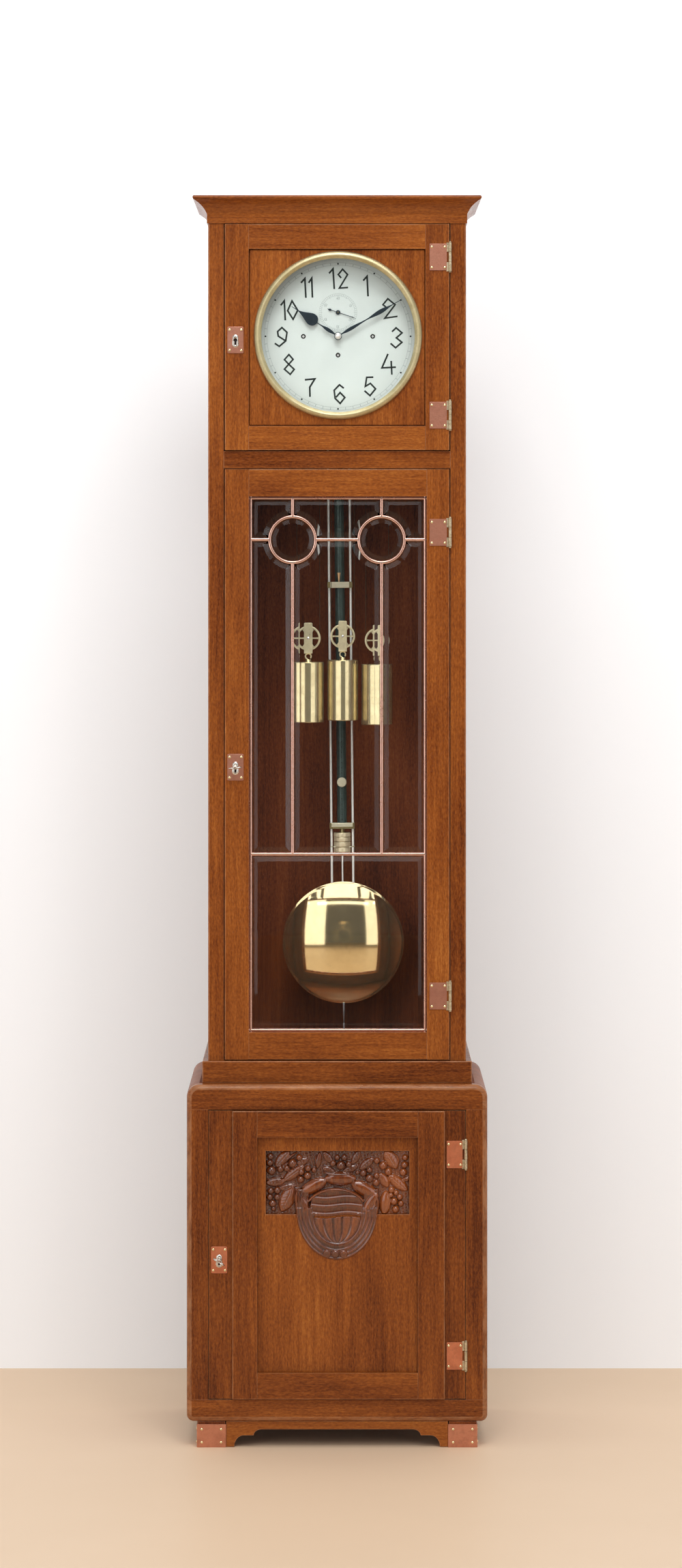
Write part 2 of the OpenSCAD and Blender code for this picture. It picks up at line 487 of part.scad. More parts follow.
// Key drawn in its lock, turned by a from upright
module key(x, z, fd, bd, a) translate([x, 0, z]) rotate([0, a, 0]) {
  cy(0, 0, fd - 7, bd + 10, 2.4);
  turn_y(0, 0, fd) polygon([[0, -9], [3.2, -8.6], [3.2, -6.6], [0, -6.6]]);
  bx(-1.2, 1.2, bd + 3.5, bd + 9, -8.4, 0);
  // flat bow of two lobes
  difference() {
    union() { for (s = [-1, 1]) cx(-1.3, 1.3, fd - key_out + 7.6, s * 4.4, 6.6);
      bx(-1.3, 1.3, fd - key_out + 1, fd - 7.4, -3, 3); }
    for (s = [-1, 1]) cx(-2, 2, fd - key_out + 7.6, s * 5, 3.4);
  }
}
module dial_door_lock() color("#c8785f") lock(lock_x, dlock_z, door_d, door_d + door_t);
module dial_door_bolt() color("#b8a060") bolt(lock_x, dlock_z, door_d + door_t);

// ---------- trunk door ----------
tg = [-141.5, 144, 659.4, 1518.7];  // glass opening
circ_z = 1449.2; circ_x = 71.5; bar_z = 944.4; circ_r = 39.2; came_w = 4.8;
module trunk_door_frame() color("#8a4a22") difference() {
  frame_boards(-door_x, door_x, td0, td1, tg[0], tg[1], tg[2], tg[3], door_d, door_d + door_t);
  keyhole(lock_x, tlock_z, door_d - 1, door_d + door_t + 1);
}
module trunk_door_came() color("#c8785f") difference() {
  union() {
    frame_boards(tg[0], tg[1], tg[2], tg[3], tg[0] + came_w, tg[1] - came_w, tg[2] + came_w, tg[3] - came_w, 38, 44);
    for (s = [-1, 1]) {
      bx(s * circ_x - came_w / 2, s * circ_x + came_w / 2, 38, 44, bar_z, tg[3] - 1);
      cy(s * circ_x, circ_z, 38, 44, circ_r);
    }
    bx(tg[0] + 1, tg[1] - 1, 38, 44, circ_z - came_w / 2, circ_z + came_w / 2);
    bx(tg[0] + 1, tg[1] - 1, 38, 44, bar_z - came_w / 2, bar_z + came_w / 2);
  }
  for (s = [-1, 1]) cy(s * circ_x, circ_z, 37, 45, circ_r - 4.7);
}
module trunk_door_panes() color("#e4efee", 0.35) {
  difference() {
    bx(tg[0] + came_w + jg, tg[1] - came_w - jg, 39, 43, tg[2] + came_w + jg, tg[3] - came_w - jg);
    for (s = [-1, 1]) {
      bx(s * circ_x - came_w / 2 - jg, s * circ_x + came_w / 2 + jg, 38, 44, bar_z, tg[3] - 1);
      cy(s * circ_x, circ_z, 38, 44, circ_r + jg);
    }
    bx(tg[0] + 1, tg[1] - 1, 38, 44, circ_z - came_w / 2 - jg, circ_z + came_w / 2 + jg);
    bx(tg[0] + 1, tg[1] - 1, 38, 44, bar_z - came_w / 2 - jg, bar_z + came_w / 2 + jg);
  }
  for (s = [-1, 1]) cy(s * circ_x, circ_z, 39, 43, circ_r - 4.7 - jg);
}
module trunk_door_hinges() color("#c8785f") plates(piv_x, piv_d, 162.3, 28, 43, door_d, hinge_z[1], 10.4);
module trunk_door_lock() color("#c8785f") lock(lock_x, tlock_z, door_d, door_d + door_t);
module trunk_door_bolt() color("#b8a060") bolt(lock_x, tlock_z, door_d + door_t);
module trunk_door_key() color("#b9bcc0") key(lock_x, tlock_z, door_d - 1.5, door_d + door_t, -97);

// ---------- base door ----------
// Each stile is a broad board: a low strip outside, and a proud part beside the panel
module base_door_frame() color("#8a4a22") difference() {
  union() {
    prof_z(bd0, bd1) polygon([[-bdoor_x, 0], [-167.2, 0], [-167.2, -7], [-127.4, -7], [-127.4, frame_t], [-bdoor_x, frame_t]]);
    prof_z(bd0, bd1) polygon([[bdoor_x, 0], [171.8, 0], [171.8, -7], [129, -7], [129, frame_t], [bdoor_x, frame_t]]);
    bx(-127.4 + jg, 129 - jg, -7, frame_t, 495.9, bd1);
    bx(-127.4 + jg, 129 - jg, -7, frame_t, bd0, 120.5);
  }
  keyhole(block_x, block_z, -2, frame_t + 1);
}
module prof_z(z0, z1) translate([0, -yo, z0]) linear_extrude(z1 - z0) children();
module base_door_panel() color("#7c3f1c") difference() {
  bx(-127.4, 129, 3, 17, 120.5, 495.9);
  bx(-114, 115.4, 2, 9, 372, 473);
  prof_y(2, 9) basket(0.1);
}
// Outline of the lower half of the carved basket
module basket(g = 0) polygon([for (a = [180:15:360]) [-0.3 + (65 + g) * cos(a), 380 + (80 + g) * sin(a)]]);
module base_door_carving() color("#6a3418") {
  prof_y(-4, 9) basket();
  bx(-108, 110, 0, 9, 380, 468);
}
module base_door_hinges() color("#c8785f") plates(bpiv_x, bpiv_d, 187.6, 25.6, 43.8, 0, hinge_z[2], 9.6);
module base_door_lock() color("#c8785f") lock(block_x, block_z, 0, frame_t);
module base_door_bolt() color("#b8a060") bolt(block_x, block_z, frame_t);
module base_door_key() color("#b9bcc0") key(block_x, block_z, -1.5, frame_t, -57);

base_side_panels();
base_front_frame();
back_boards();
base_inner_boards();
plinth_step();
trunk_side_panels();
trunk_front_frame();
cornice();
feet();
foot_brackets();
foot_caps();
case_hinge_leaves();
seat_board();
movement_frame();
dial_plate();
suspension_cock();
gong();
line_left();
line_centre();
line_right();
dial_door_frame();
dial_door_panel();
dial_bezel();
dial_glass();
dial_door_hinges();
dial_door_lock();
dial_door_bolt();
trunk_door_frame();
trunk_door_came();
trunk_door_panes();
trunk_door_hinges();
trunk_door_lock();
trunk_door_bolt();
trunk_door_key();
base_door_frame();
base_door_panel();
base_door_carving();
base_door_hinges();
base_door_lock();
base_door_bolt();
base_door_key();
minute_hand();
hour_hand();
seconds_hand();
escape_wheel();
anchor();
strike_hammer();
pendulum_rods();
pendulum_tube();
pendulum_fittings();
pendulum_bob();
weight_left();
weight_centre();
weight_right();
pulley_left();
pulley_centre();
pulley_right();
barrel_left();
barrel_centre();
barrel_right();
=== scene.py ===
"""Longcase regulator clock: the looks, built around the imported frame."""
import bpy, bmesh, math, random
from mathutils import Vector, Matrix


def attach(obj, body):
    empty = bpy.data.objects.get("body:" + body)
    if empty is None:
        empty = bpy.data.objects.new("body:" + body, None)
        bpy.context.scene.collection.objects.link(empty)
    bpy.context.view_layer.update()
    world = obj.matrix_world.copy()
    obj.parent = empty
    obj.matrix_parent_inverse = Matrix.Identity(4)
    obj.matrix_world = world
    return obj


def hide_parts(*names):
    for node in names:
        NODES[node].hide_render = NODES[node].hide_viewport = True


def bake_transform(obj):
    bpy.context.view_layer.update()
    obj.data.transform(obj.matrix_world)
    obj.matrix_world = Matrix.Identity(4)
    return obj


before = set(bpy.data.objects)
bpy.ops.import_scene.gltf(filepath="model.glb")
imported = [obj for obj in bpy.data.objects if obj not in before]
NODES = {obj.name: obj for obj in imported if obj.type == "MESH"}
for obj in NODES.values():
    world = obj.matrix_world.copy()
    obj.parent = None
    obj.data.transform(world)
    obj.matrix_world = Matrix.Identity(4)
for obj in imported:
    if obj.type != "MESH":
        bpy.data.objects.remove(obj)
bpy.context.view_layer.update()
random.seed(7)

# ------------------------------------------------------------------ sizes (mm)
YO = 141.75
def P(x, d, z):
    return Vector((x / 1000.0, (d - YO) / 1000.0, z / 1000.0))

FRAME_T = 22
BW, TW = 240.25, 207.0
DOOR_X, BDOOR_X = 180.2, 204.4
STILE_IN, BSTILE_IN = 181.8, 206.0
DIAL_X, DIAL_Z, DIAL_D = 1.5, 1777.0, 64.0
PIV = P(0, 200, 1841)
SWING = math.radians(0.55)
WIND = [(-55.9, 0.0), (0.0, -30.2), (55.9, 0.0)]
LINE_C, WHEEL_C, LINE_D, PULLEY_Z = 26.2, 18.6, 115.0, 1291.0
WX = [DIAL_X + w[0] + LINE_C - WHEEL_C for w in WIND]
HANG = [-1.2, 2.0, -4.8]
NAMES = ["left", "centre", "right"]

# ------------------------------------------------------------------ node helpers
def mat_new(name):
    m = bpy.data.materials.new(name)
    m.use_nodes = True
    nt = m.node_tree
    for n in list(nt.nodes):
        nt.nodes.remove(n)
    out = nt.nodes.new("ShaderNodeOutputMaterial")
    b = nt.nodes.new("ShaderNodeBsdfPrincipled")
    nt.links.new(b.outputs[0], out.inputs[0])
    return m, nt, b, out

def node(nt, kind, **kw):
    n = nt.nodes.new(kind)
    for k, v in kw.items():
        if k == "inputs":
            for i, val in v.items():
                n.inputs[i].default_value = val
        else:
            setattr(n, k, v)
    return n

def link(nt, a, b):
    nt.links.new(a, b)

def ramp(nt, src, stops, interp="LINEAR"):
    r = nt.nodes.new("ShaderNodeValToRGB")
    r.color_ramp.interpolation = interp
    el = r.color_ramp.elements
    while len(el) > len(stops):
        el.remove(el[-1])
    while len(el) < len(stops):
        el.new(0.5)
    for e, (p, c) in zip(el, stops):
        e.position = p
        e.color = (c[0], c[1], c[2], 1) if len(c) == 3 else c
    link(nt, src, r.inputs[0])
    return r.outputs[0]

def mix(nt, fac, a, b, mode="MIX"):
    m = nt.nodes.new("ShaderNodeMix")
    m.data_type = "RGBA"
    m.blend_type = mode
    m.clamp_result = False
    for sock, v in ((m.inputs[0], fac), (m.inputs[6], a), (m.inputs[7], b)):
        if hasattr(v, "links") or hasattr(v, "is_linked"):
            link(nt, v, sock)
        elif isinstance(v, (int, float)):
            sock.default_value = v
        else:
            sock.default_value = (v[0], v[1], v[2], 1)
    return m.outputs[2]

def math_(nt, op, a, b=None, c=None, clamp=False):
    m = nt.nodes.new("ShaderNodeMath")
    m.operation = op
    m.use_clamp = clamp
    for i, v in enumerate((a, b, c)):
        if v is None:
            continue
        if hasattr(v, "is_linked"):
            link(nt, v, m.inputs[i])
        else:
            m.inputs[i].default_value = v
    return m.outputs[0]

def remap(nt, src, a, b, c, d):
    m = nt.nodes.new("ShaderNodeMapRange")
    m.inputs[1].default_value, m.inputs[2].default_value = a, b
    m.inputs[3].default_value, m.inputs[4].default_value = c, d
    link(nt, src, m.inputs[0])
    return m.outputs[0]

def scaled(nt, vec, s):
    m = nt.nodes.new("ShaderNodeVectorMath")
    m.operation = "MULTIPLY"
    link(nt, vec, m.inputs[0])
    m.inputs[1].default_value = s
    return m.outputs[0]

def noise(nt, vec, scale=1.0, detail=3.0, rough=0.55, dist=0.0, out=0):
    n = nt.nodes.new("ShaderNodeTexNoise")
    n.inputs["Scale"].default_value = scale
    n.inputs["Detail"].default_value = detail
    n.inputs["Roughness"].default_value = rough
    n.inputs["Distortion"].default_value = dist
    link(nt, vec, n.inputs["Vector"])
    return n.outputs[out]

def bump(nt, height, strength, dist, normal=None):
    b = nt.nodes.new("ShaderNodeBump")
    b.inputs["Strength"].default_value = strength
    b.inputs["Distance"].default_value = dist
    link(nt, height, b.inputs["Height"])
    if normal is not None:
        link(nt, normal, b.inputs["Normal"])
    return b.outputs[0]

def attr(nt, name, out="Vector"):
    a = nt.nodes.new("ShaderNodeAttribute")
    a.attribute_name = name
    return a.outputs[out]

def obj_coord(nt):
    return nt.nodes.new("ShaderNodeTexCoord").outputs["Object"]

# ------------------------------------------------------------------ materials
def wood_material(name, tones, rough=0.27, coat=0.08, gloss_var=0.07, grain=1.0, edge=0.45, spec=0.15, crisp=0.12, bump_s=0.14, lacquer=1.5):
    """Polished mahogany. The attribute wc holds metres along the grain (x) and across it (y, z), with a shift for each board."""
    m, nt, b, out = mat_new(name)
    wc = attr(nt, "wc")
    dark, mid, lit, hot = tones
    # broad clouds of tone, long along the grain
    cloud = noise(nt, scaled(nt, wc, (2.2, 11, 11)), 1.0, 3, 0.55, 0.6)
    # ribbon stripe and growth lines, warped by a slow drift
    drift = noise(nt, scaled(nt, wc, (3.0, 5, 5)), 1.0, 2, 0.5, 0, out=1)
    warped = nt.nodes.new("ShaderNodeVectorMath"); warped.operation = "MULTIPLY_ADD"
    link(nt, drift, warped.inputs[0]); warped.inputs[1].default_value = (0.0, 0.018, 0.018); link(nt, wc, warped.inputs[2])
    lines = noise(nt, scaled(nt, warped.outputs[0], (5.5, 210, 210)), 1.0, 5, 0.62, 0.25)
    fine = noise(nt, scaled(nt, wc, (60, 760, 760)), 1.0, 3, 0.6)
    fleck = noise(nt, scaled(nt, wc, (170, 420, 420)), 1.0, 2, 0.6)
    pores = nt.nodes.new("ShaderNodeTexVoronoi"); pores.feature = "F1"
    link(nt, scaled(nt, wc, (110, 900, 900)), pores.inputs["Vector"]); pores.inputs["Scale"].default_value = 1.0
    pore = remap(nt, pores.outputs["Distance"], 0.08, 0.30, 1.0, 0.0)
    tone = math_(nt, "ADD", math_(nt, "MULTIPLY", cloud, 0.60), math_(nt, "MULTIPLY", lines, 0.40 * grain))
    tone = math_(nt, "ADD", tone, math_(nt, "MULTIPLY", math_(nt, "SUBTRACT", fine, 0.5), 0.30 * grain))
    tone = math_(nt, "ADD", tone, math_(nt, "MULTIPLY", math_(nt, "SUBTRACT", fleck, 0.5), 0.42 * grain))
    # the face attribute shade shifts the tone: partly each board's own tone, partly painted shade and light set part by
    # part, such as the base kept darker than the trunk and the carving's hollows darkened
    tone = math_(nt, "ADD", tone, attr(nt, "shade", "Fac"))
    col = ramp(nt, tone, [(0.26, dark), (0.43, mid), (0.58, lit), (0.78, hot)])
    col = mix(nt, math_(nt, "MULTIPLY", pore, 0.34 * grain), col, tuple(c * 0.45 for c in dark))
    # rubbed edges are a little lighter, and a pale painted highlight lies along the bevels with the wear
    bevel_faces = attr(nt, "edge", "Fac")
    worn_and_sheen = math_(nt, "MULTIPLY", bevel_faces, remap(nt, noise(nt, scaled(nt, wc, (35, 120, 120)), 1.0, 3, 0.6), 0.35, 0.65, 0.25, 1.0))
    col = mix(nt, math_(nt, "MULTIPLY", worn_and_sheen, edge), col, (hot[0] * 1.15, hot[1] * 1.7, hot[2] * 4.5))
    link(nt, col, b.inputs["Base Color"])
    smear = noise(nt, scaled(nt, wc, (9, 17, 17)), 1.0, 4, 0.6)
    r = remap(nt, smear, 0.3, 0.7, rough - gloss_var / 2, rough + gloss_var / 2)
    r = math_(nt, "ADD", r, math_(nt, "MULTIPLY", pore, 0.08))
    link(nt, r, b.inputs["Roughness"])
    b.inputs["IOR"].default_value = 1.5
    b.inputs["Specular IOR Level"].default_value = spec
    b.inputs["Coat Weight"].default_value = coat
    b.inputs["Coat Roughness"].default_value = crisp
    b.inputs["Coat IOR"].default_value = lacquer
    h = math_(nt, "SUBTRACT", math_(nt, "MULTIPLY", lines, 0.5), math_(nt, "MULTIPLY", pore, 0.6))
    h = math_(nt, "ADD", h, math_(nt, "MULTIPLY", fleck, 0.35))
    link(nt, bump(nt, h, bump_s, 0.0012), b.inputs["Normal"])
    return m

MAHOG = ((0.086, 0.0190, 0.0044), (0.190, 0.0485, 0.0092), (0.288, 0.0825, 0.0148), (0.440, 0.152, 0.0285))
M_WOOD = wood_material("mahogany_polished", MAHOG)
M_WOOD_SIDE = wood_material("mahogany_sides", ((0.085, 0.016, 0.004), (0.175, 0.040, 0.008), (0.26, 0.067, 0.013), (0.38, 0.12, 0.026)), rough=0.38)
M_WOOD_IN = wood_material("mahogany_inside", ((0.046, 0.0095, 0.0023), (0.106, 0.0238, 0.0050), (0.162, 0.0385, 0.0080), (0.235, 0.062, 0.014)), rough=0.6, coat=0.0, edge=0.1, spec=0.15)

def metal_material(name, col_a, col_b, rough, rough_var=0.12, tarnish=None, tarnish_amt=0.4, brush=None, bump_s=0.05, cell=None, metallic=1.0, scale=1.0, spots=0.25):
    m, nt, b, out = mat_new(name)
    oc = obj_coord(nt)
    n1 = noise(nt, oc, 45 * scale, 4, 0.6, 0.3)
    n2 = noise(nt, oc, 420 * scale, 3, 0.6)
    col = mix(nt, remap(nt, n1, 0.35, 0.65, 0, 1), col_a, col_b)
    if tarnish:
        t = remap(nt, noise(nt, oc, 120 * scale, 5, 0.7, 0.5), 0.48, 0.72, 0, tarnish_amt)
        col = mix(nt, t, col, tarnish)
        sp = remap(nt, noise(nt, oc, 900 * scale, 2, 0.5), 0.62, 0.72, 0, spots)
        col = mix(nt, sp, col, tuple(c * 0.4 for c in tarnish))
    link(nt, col, b.inputs["Base Color"])
    b.inputs["Metallic"].default_value = metallic
    r = remap(nt, n1, 0.3, 0.7, rough - rough_var / 2, rough + rough_var / 2)
    r = math_(nt, "ADD", r, math_(nt, "MULTIPLY", math_(nt, "SUBTRACT", n2, 0.5), rough_var))
    link(nt, r, b.inputs["Roughness"])
    h = n2
    if brush:
        h = noise(nt, scaled(nt, oc, brush), 1.0, 3, 0.6)
    if cell:
        v = nt.nodes.new("ShaderNodeTexVoronoi"); v.inputs["Scale"].default_value = cell
        v.feature = "SMOOTH_F1"
        link(nt, oc, v.inputs["Vector"])
        h = math_(nt, "ADD", math_(nt, "MULTIPLY", v.outputs["Distance"], 1.0), math_(nt, "MULTIPLY", h, 0.3))
    link(nt, bump(nt, h, bump_s, 0.0006), b.inputs["Normal"])
    return m

M_BRASS = metal_material("brass_polished", (0.80, 0.62, 0.30), (0.70, 0.53, 0.25), 0.20, 0.10, (0.42, 0.30, 0.14), 0.25)
M_BRASS_BOB = metal_material("brass_bob", (0.87, 0.685, 0.385), (0.82, 0.635, 0.345), 0.07, 0.03, (0.55, 0.43, 0.25), 0.16, scale=0.6, bump_s=0.01, metallic=0.955)
M_BEZEL = metal_material("brass_bezel", (0.60, 0.52, 0.31), (0.50, 0.43, 0.24), 0.46, 0.10, (0.32, 0.27, 0.14), 0.35)
M_BRASS_OLD = metal_material("brass_dull", (0.62, 0.49, 0.26), (0.52, 0.40, 0.20), 0.38, 0.14, (0.30, 0.22, 0.12), 0.5)
M_PIN = metal_material("brass_pins", (0.88, 0.76, 0.46), (0.78, 0.64, 0.36), 0.22, 0.10, (0.45, 0.34, 0.18), 0.3)
M_COPPER = metal_material("copper_plate", (0.45, 0.200, 0.132), (0.38, 0.16, 0.104), 0.46, 0.14, (0.28, 0.125, 0.08), 0.40, bump_s=0.24, cell=420, metallic=0.8)
M_COPPER_RED = metal_material("copper_red", (0.64, 0.225, 0.115), (0.54, 0.175, 0.085), 0.42, 0.14, (0.30, 0.11, 0.06), 0.40, bump_s=0.24, cell=420, metallic=0.8)
M_COPPER_SHOE = metal_material("copper_shoe", (0.60, 0.245, 0.145), (0.51, 0.195, 0.11), 0.46, 0.14, (0.28, 0.12, 0.07), 0.40, bump_s=0.24, cell=420, metallic=0.8)
M_CAME = metal_material("copper_came", (0.80, 0.49, 0.39), (0.68, 0.39, 0.30), 0.25, 0.10, (0.38, 0.20, 0.15), 0.40, metallic=0.92)
M_STEEL = metal_material("steel_bright", (0.64, 0.64, 0.65), (0.57, 0.57, 0.58), 0.26, 0.05, (0.36, 0.35, 0.33), 0.18, brush=(500, 500, 14), bump_s=0.02)
M_NICKEL = metal_material("nickel_worn", (0.74, 0.70, 0.64), (0.60, 0.56, 0.50), 0.26, 0.14, (0.26, 0.22, 0.18), 0.6)
M_BLUED = metal_material("steel_blued", (0.028, 0.042, 0.054), (0.019, 0.029, 0.038), 0.34, 0.12, (0.03, 0.03, 0.035), 0.4, metallic=0.75)
M_TUBE = metal_material("tube_green", (0.052, 0.078, 0.068), (0.038, 0.058, 0.050), 0.33, 0.10, (0.016, 0.019, 0.016), 0.5, metallic=0.4)
M_BALL = metal_material("nut_silver", (0.92, 0.90, 0.88), (0.84, 0.82, 0.80), 0.30, 0.08, (0.45, 0.38, 0.32), 0.3, metallic=0.8)

def silver_dial():
    m, nt, b, out = mat_new("dial_silvered")
    oc = obj_coord(nt)
    n1 = noise(nt, oc, 14, 3, 0.5)
    grain_ = noise(nt, scaled(nt, oc, (2600, 2600, 260)), 1.0, 2, 0.6)
    speck = noise(nt, oc, 900, 2, 0.6)
    col = mix(nt, remap(nt, n1, 0.35, 0.65, 0, 1), (0.535, 0.577, 0.553), (0.500, 0.540, 0.518))
    col = mix(nt, remap(nt, grain_, 0.4, 0.7, 0, 0.35), col, (0.455, 0.495, 0.475))
    col = mix(nt, remap(nt, speck, 0.60, 0.75, 0, 0.35), col, (0.40, 0.44, 0.42))
    link(nt, col, b.inputs["Base Color"])
    b.inputs["Metallic"].default_value = 0.2
    r = math_(nt, "ADD", remap(nt, n1, 0.3, 0.7, 0.46, 0.56), math_(nt, "MULTIPLY", math_(nt, "SUBTRACT", grain_, 0.5), 0.1))
    link(nt, r, b.inputs["Roughness"])
    link(nt, bump(nt, grain_, 0.08, 0.0003), b.inputs["Normal"])
    return m
M_DIAL = silver_dial()

def ink_and_shade_matte(name, c, var=0.25, rough=0.55):
    m, nt, b, out = mat_new(name)
    oc = obj_coord(nt)
    n = noise(nt, oc, 700, 3, 0.6)
    link(nt, mix(nt, remap(nt, n, 0.3, 0.7, 0, 1), c, tuple(x * (1 + var) + 0.004 for x in c)), b.inputs["Base Color"])
    link(nt, remap(nt, n, 0.3, 0.7, rough - 0.08, rough + 0.08), b.inputs["Roughness"])
    b.inputs["Specular IOR Level"].default_value = 0.15
    return m
M_INK = ink_and_shade_matte("dial_black", (0.012, 0.016, 0.014))
M_INK2 = ink_and_shade_matte("dial_grey", (0.20, 0.23, 0.22))
M_INK3 = ink_and_shade_matte("dial_light_grey", (0.16, 0.18, 0.175))
# a near-black for the inside of holes: painted shade
M_HOLE_SHADE = ink_and_shade_matte("hole_painted_shade", (0.012, 0.011, 0.010))

def glass_material(name, rough=0.01, ior=1.4):
    m, nt, b, out = mat_new(name)
    oc = obj_coord(nt)
    b.inputs["Base Color"].default_value = (0.985, 0.995, 0.99, 1)
    b.inputs["Transmission Weight"].default_value = 1.0
    b.inputs["Roughness"].default_value = rough
    b.inputs["IOR"].default_value = ior
    w = noise(nt, oc, 9, 2, 0.5)
    link(nt, bump(nt, w, 0.03, 0.0005), b.inputs["Normal"])
    tr = nt.nodes.new("ShaderNodeBsdfTransparent")
    tr.inputs[0].default_value = (0.96, 0.975, 0.97, 1)
    lp = nt.nodes.new("ShaderNodeLightPath")
    mx = nt.nodes.new("ShaderNodeMixShader")
    link(nt, lp.outputs["Is Shadow Ray"], mx.inputs[0])
    link(nt, b.outputs[0], mx.inputs[1]); link(nt, tr.outputs[0], mx.inputs[2])
    link(nt, mx.outputs[0], out.inputs[0])
    return m
M_GLASS = glass_material("glass_clear")

def gut_material():
    m, nt, b, out = mat_new("gut_line")
    oc = obj_coord(nt)
    w = nt.nodes.new("ShaderNodeTexWave"); w.wave_type = "BANDS"; w.bands_direction = "DIAGONAL"
    w.inputs["Scale"].default_value = 700; link(nt, oc, w.inputs["Vector"])
    col = mix(nt, w.outputs["Fac"], (0.022, 0.013, 0.007), (0.060, 0.036, 0.019))
    link(nt, col, b.inputs["Base Color"])
    link(nt, remap(nt, w.outputs["Fac"], 0, 1, 0.6, 0.75), b.inputs["Roughness"])
    b.inputs["Specular IOR Level"].default_value = 0.12
    link(nt, bump(nt, w.outputs["Fac"], 0.4, 0.0003), b.inputs["Normal"])
    return m
M_GUT = gut_material()

# ------------------------------------------------------------------ mesh helpers
class MB:
    """Collects boards, prisms and turned shapes into one mesh, with attributes for the wood on each face."""
    def __init__(self):
        self.v, self.f = [], []

    def add(self, verts, faces, mi=0, edge=0.0, grain="z", seed=0, shade=0.0, edges=None):
        o = len(self.v)
        rnd = random.Random(seed * 7919 + 13)
        off = (rnd.uniform(0, 9), rnd.uniform(0, 9), rnd.uniform(0, 9))
        self.v += [tuple(co) for co in verts]
        for i, f in enumerate(faces):
            g = grain[i] if isinstance(grain, list) else grain
            self.f.append(([o + k for k in f], mi, edges[i] if edges else edge, g, off, shade))

    def add_bm(self, bm, **kw):
        bm.verts.index_update()
        bm.faces.ensure_lookup_table()
        lay = bm.faces.layers.int.get("edgeface")
        edges = [float(f[lay]) if lay else 0.0 for f in bm.faces]
        self.add([v.co.copy() for v in bm.verts], [[v.index for v in f.verts] for f in bm.faces], edges=edges, **kw)
        bm.free()

    def board(self, x0, x1, d0, d1, z0, z1, bev=1.2, seg=2, **kw):
        a, b = P(x0, d0, z0), P(x1, d1, z1)
        bm = bmesh.new()
        bmesh.ops.create_cube(bm, size=1.0)
        for v in bm.verts:
            v.co = Vector(((a[i] + b[i]) / 2 + v.co[i] * (b[i] - a[i]) for i in range(3)))
        bevel_bm(bm, list(bm.edges), bev, seg)
        self.add_bm(bm, **kw)

    def prism(self, loop, axis, a0, a1, bevs=(), **kw):
        """Extrudes a closed loop of (p, q) mm: axis y takes (x, z), axis x takes (d, z), axis z takes (x, d). bevs lists (pick, radius, segments)."""
        def pt(p, q, t):
            return P(p, t, q) if axis == "y" else P(t, p, q) if axis == "x" else P(p, q, t)
        bm = bmesh.new()
        va = [bm.verts.new(pt(p, q, a0)) for p, q in loop]
        vb = [bm.verts.new(pt(p, q, a1)) for p, q in loop]
        n = len(loop)
        bm.faces.new(va); bm.faces.new(list(reversed(vb)))
        for i in range(n):
            j = (i + 1) % n
            bm.faces.new((va[j], va[i], vb[i], vb[j]))
        bmesh.ops.recalc_face_normals(bm, faces=bm.faces)
        for pick, r, seg in bevs:
            bevel_bm(bm, [e for e in bm.edges if pick(e)], r, seg)
        self.add_bm(bm, **kw)

    def lathe(self, prof, centre, axis="y", seg=96, **kw):
        """Turns (r, t) mm about an axis through centre (x, d, z)."""
        verts, faces = [], []
        rings = []
        for r, t in prof:
            if r < 1e-6:
                rings.append([len(verts)])
                verts.append(self._lp(0, t, 0, centre, axis))
            else:
                ring = []
                for k in range(seg):
                    a = 2 * math.pi * k / seg
                    ring.append(len(verts))
                    verts.append(self._lp(r, t, a, centre, axis))
                rings.append(ring)
        for a, b in zip(rings, rings[1:]):
            if len(a) == 1 and len(b) == 1:
                continue
            for k in range(seg):
                j = (k + 1) % seg
                if len(a) == 1:
                    faces.append((a[0], b[k], b[j]))
                elif len(b) == 1:
                    faces.append((a[k], b[0], a[j]))
                else:
                    faces.append((a[k], b[k], b[j], a[j]))
        bm = bmesh.new()
        vs = [bm.verts.new(v) for v in verts]
        for f in faces:
            bm.faces.new([vs[i] for i in f])
        bmesh.ops.recalc_face_normals(bm, faces=bm.faces)
        self.add_bm(bm, **kw)

    @staticmethod
    def _lp(r, t, a, c, axis):
        if axis == "y":
            return P(c[0] + r * math.cos(a), c[1] + t, c[2] + r * math.sin(a))
        if axis == "z":
            return P(c[0] + r * math.cos(a), c[1] + r * math.sin(a), c[2] + t)
        return P(c[0] + t, c[1] + r * math.cos(a), c[2] + r * math.sin(a))

    def tube(self, path, r, seg=10, caps=True, **kw):
        """A round tube of radius r mm along points (x, d, z) mm."""
        pts = [P(*p) for p in path]
        bm = bmesh.new()
        rings = []
        up = Vector((0, 1, 0))
        for i, p in enumerate(pts):
            t = (pts[min(i + 1, len(pts) - 1)] - pts[max(i - 1, 0)]).normalized()
            s = t.cross(up)
            if s.length < 1e-4:
                s = t.cross(Vector((1, 0, 0)))
            s.normalize(); u = s.cross(t).normalized()
            rr = (r[i] if isinstance(r, (list, tuple)) else r) / 1000
            rings.append([bm.verts.new(p + (s * math.cos(2 * math.pi * k / seg) + u * math.sin(2 * math.pi * k / seg)) * rr) for k in range(seg)])
        for a, b in zip(rings, rings[1:]):
            for k in range(seg):
                bm.faces.new((a[k], a[(k + 1) % seg], b[(k + 1) % seg], b[k]))
        if caps:
            bm.faces.new(list(reversed(rings[0]))); bm.faces.new(rings[-1])
        bmesh.ops.recalc_face_normals(bm, faces=bm.faces)
        self.add_bm(bm, **kw)

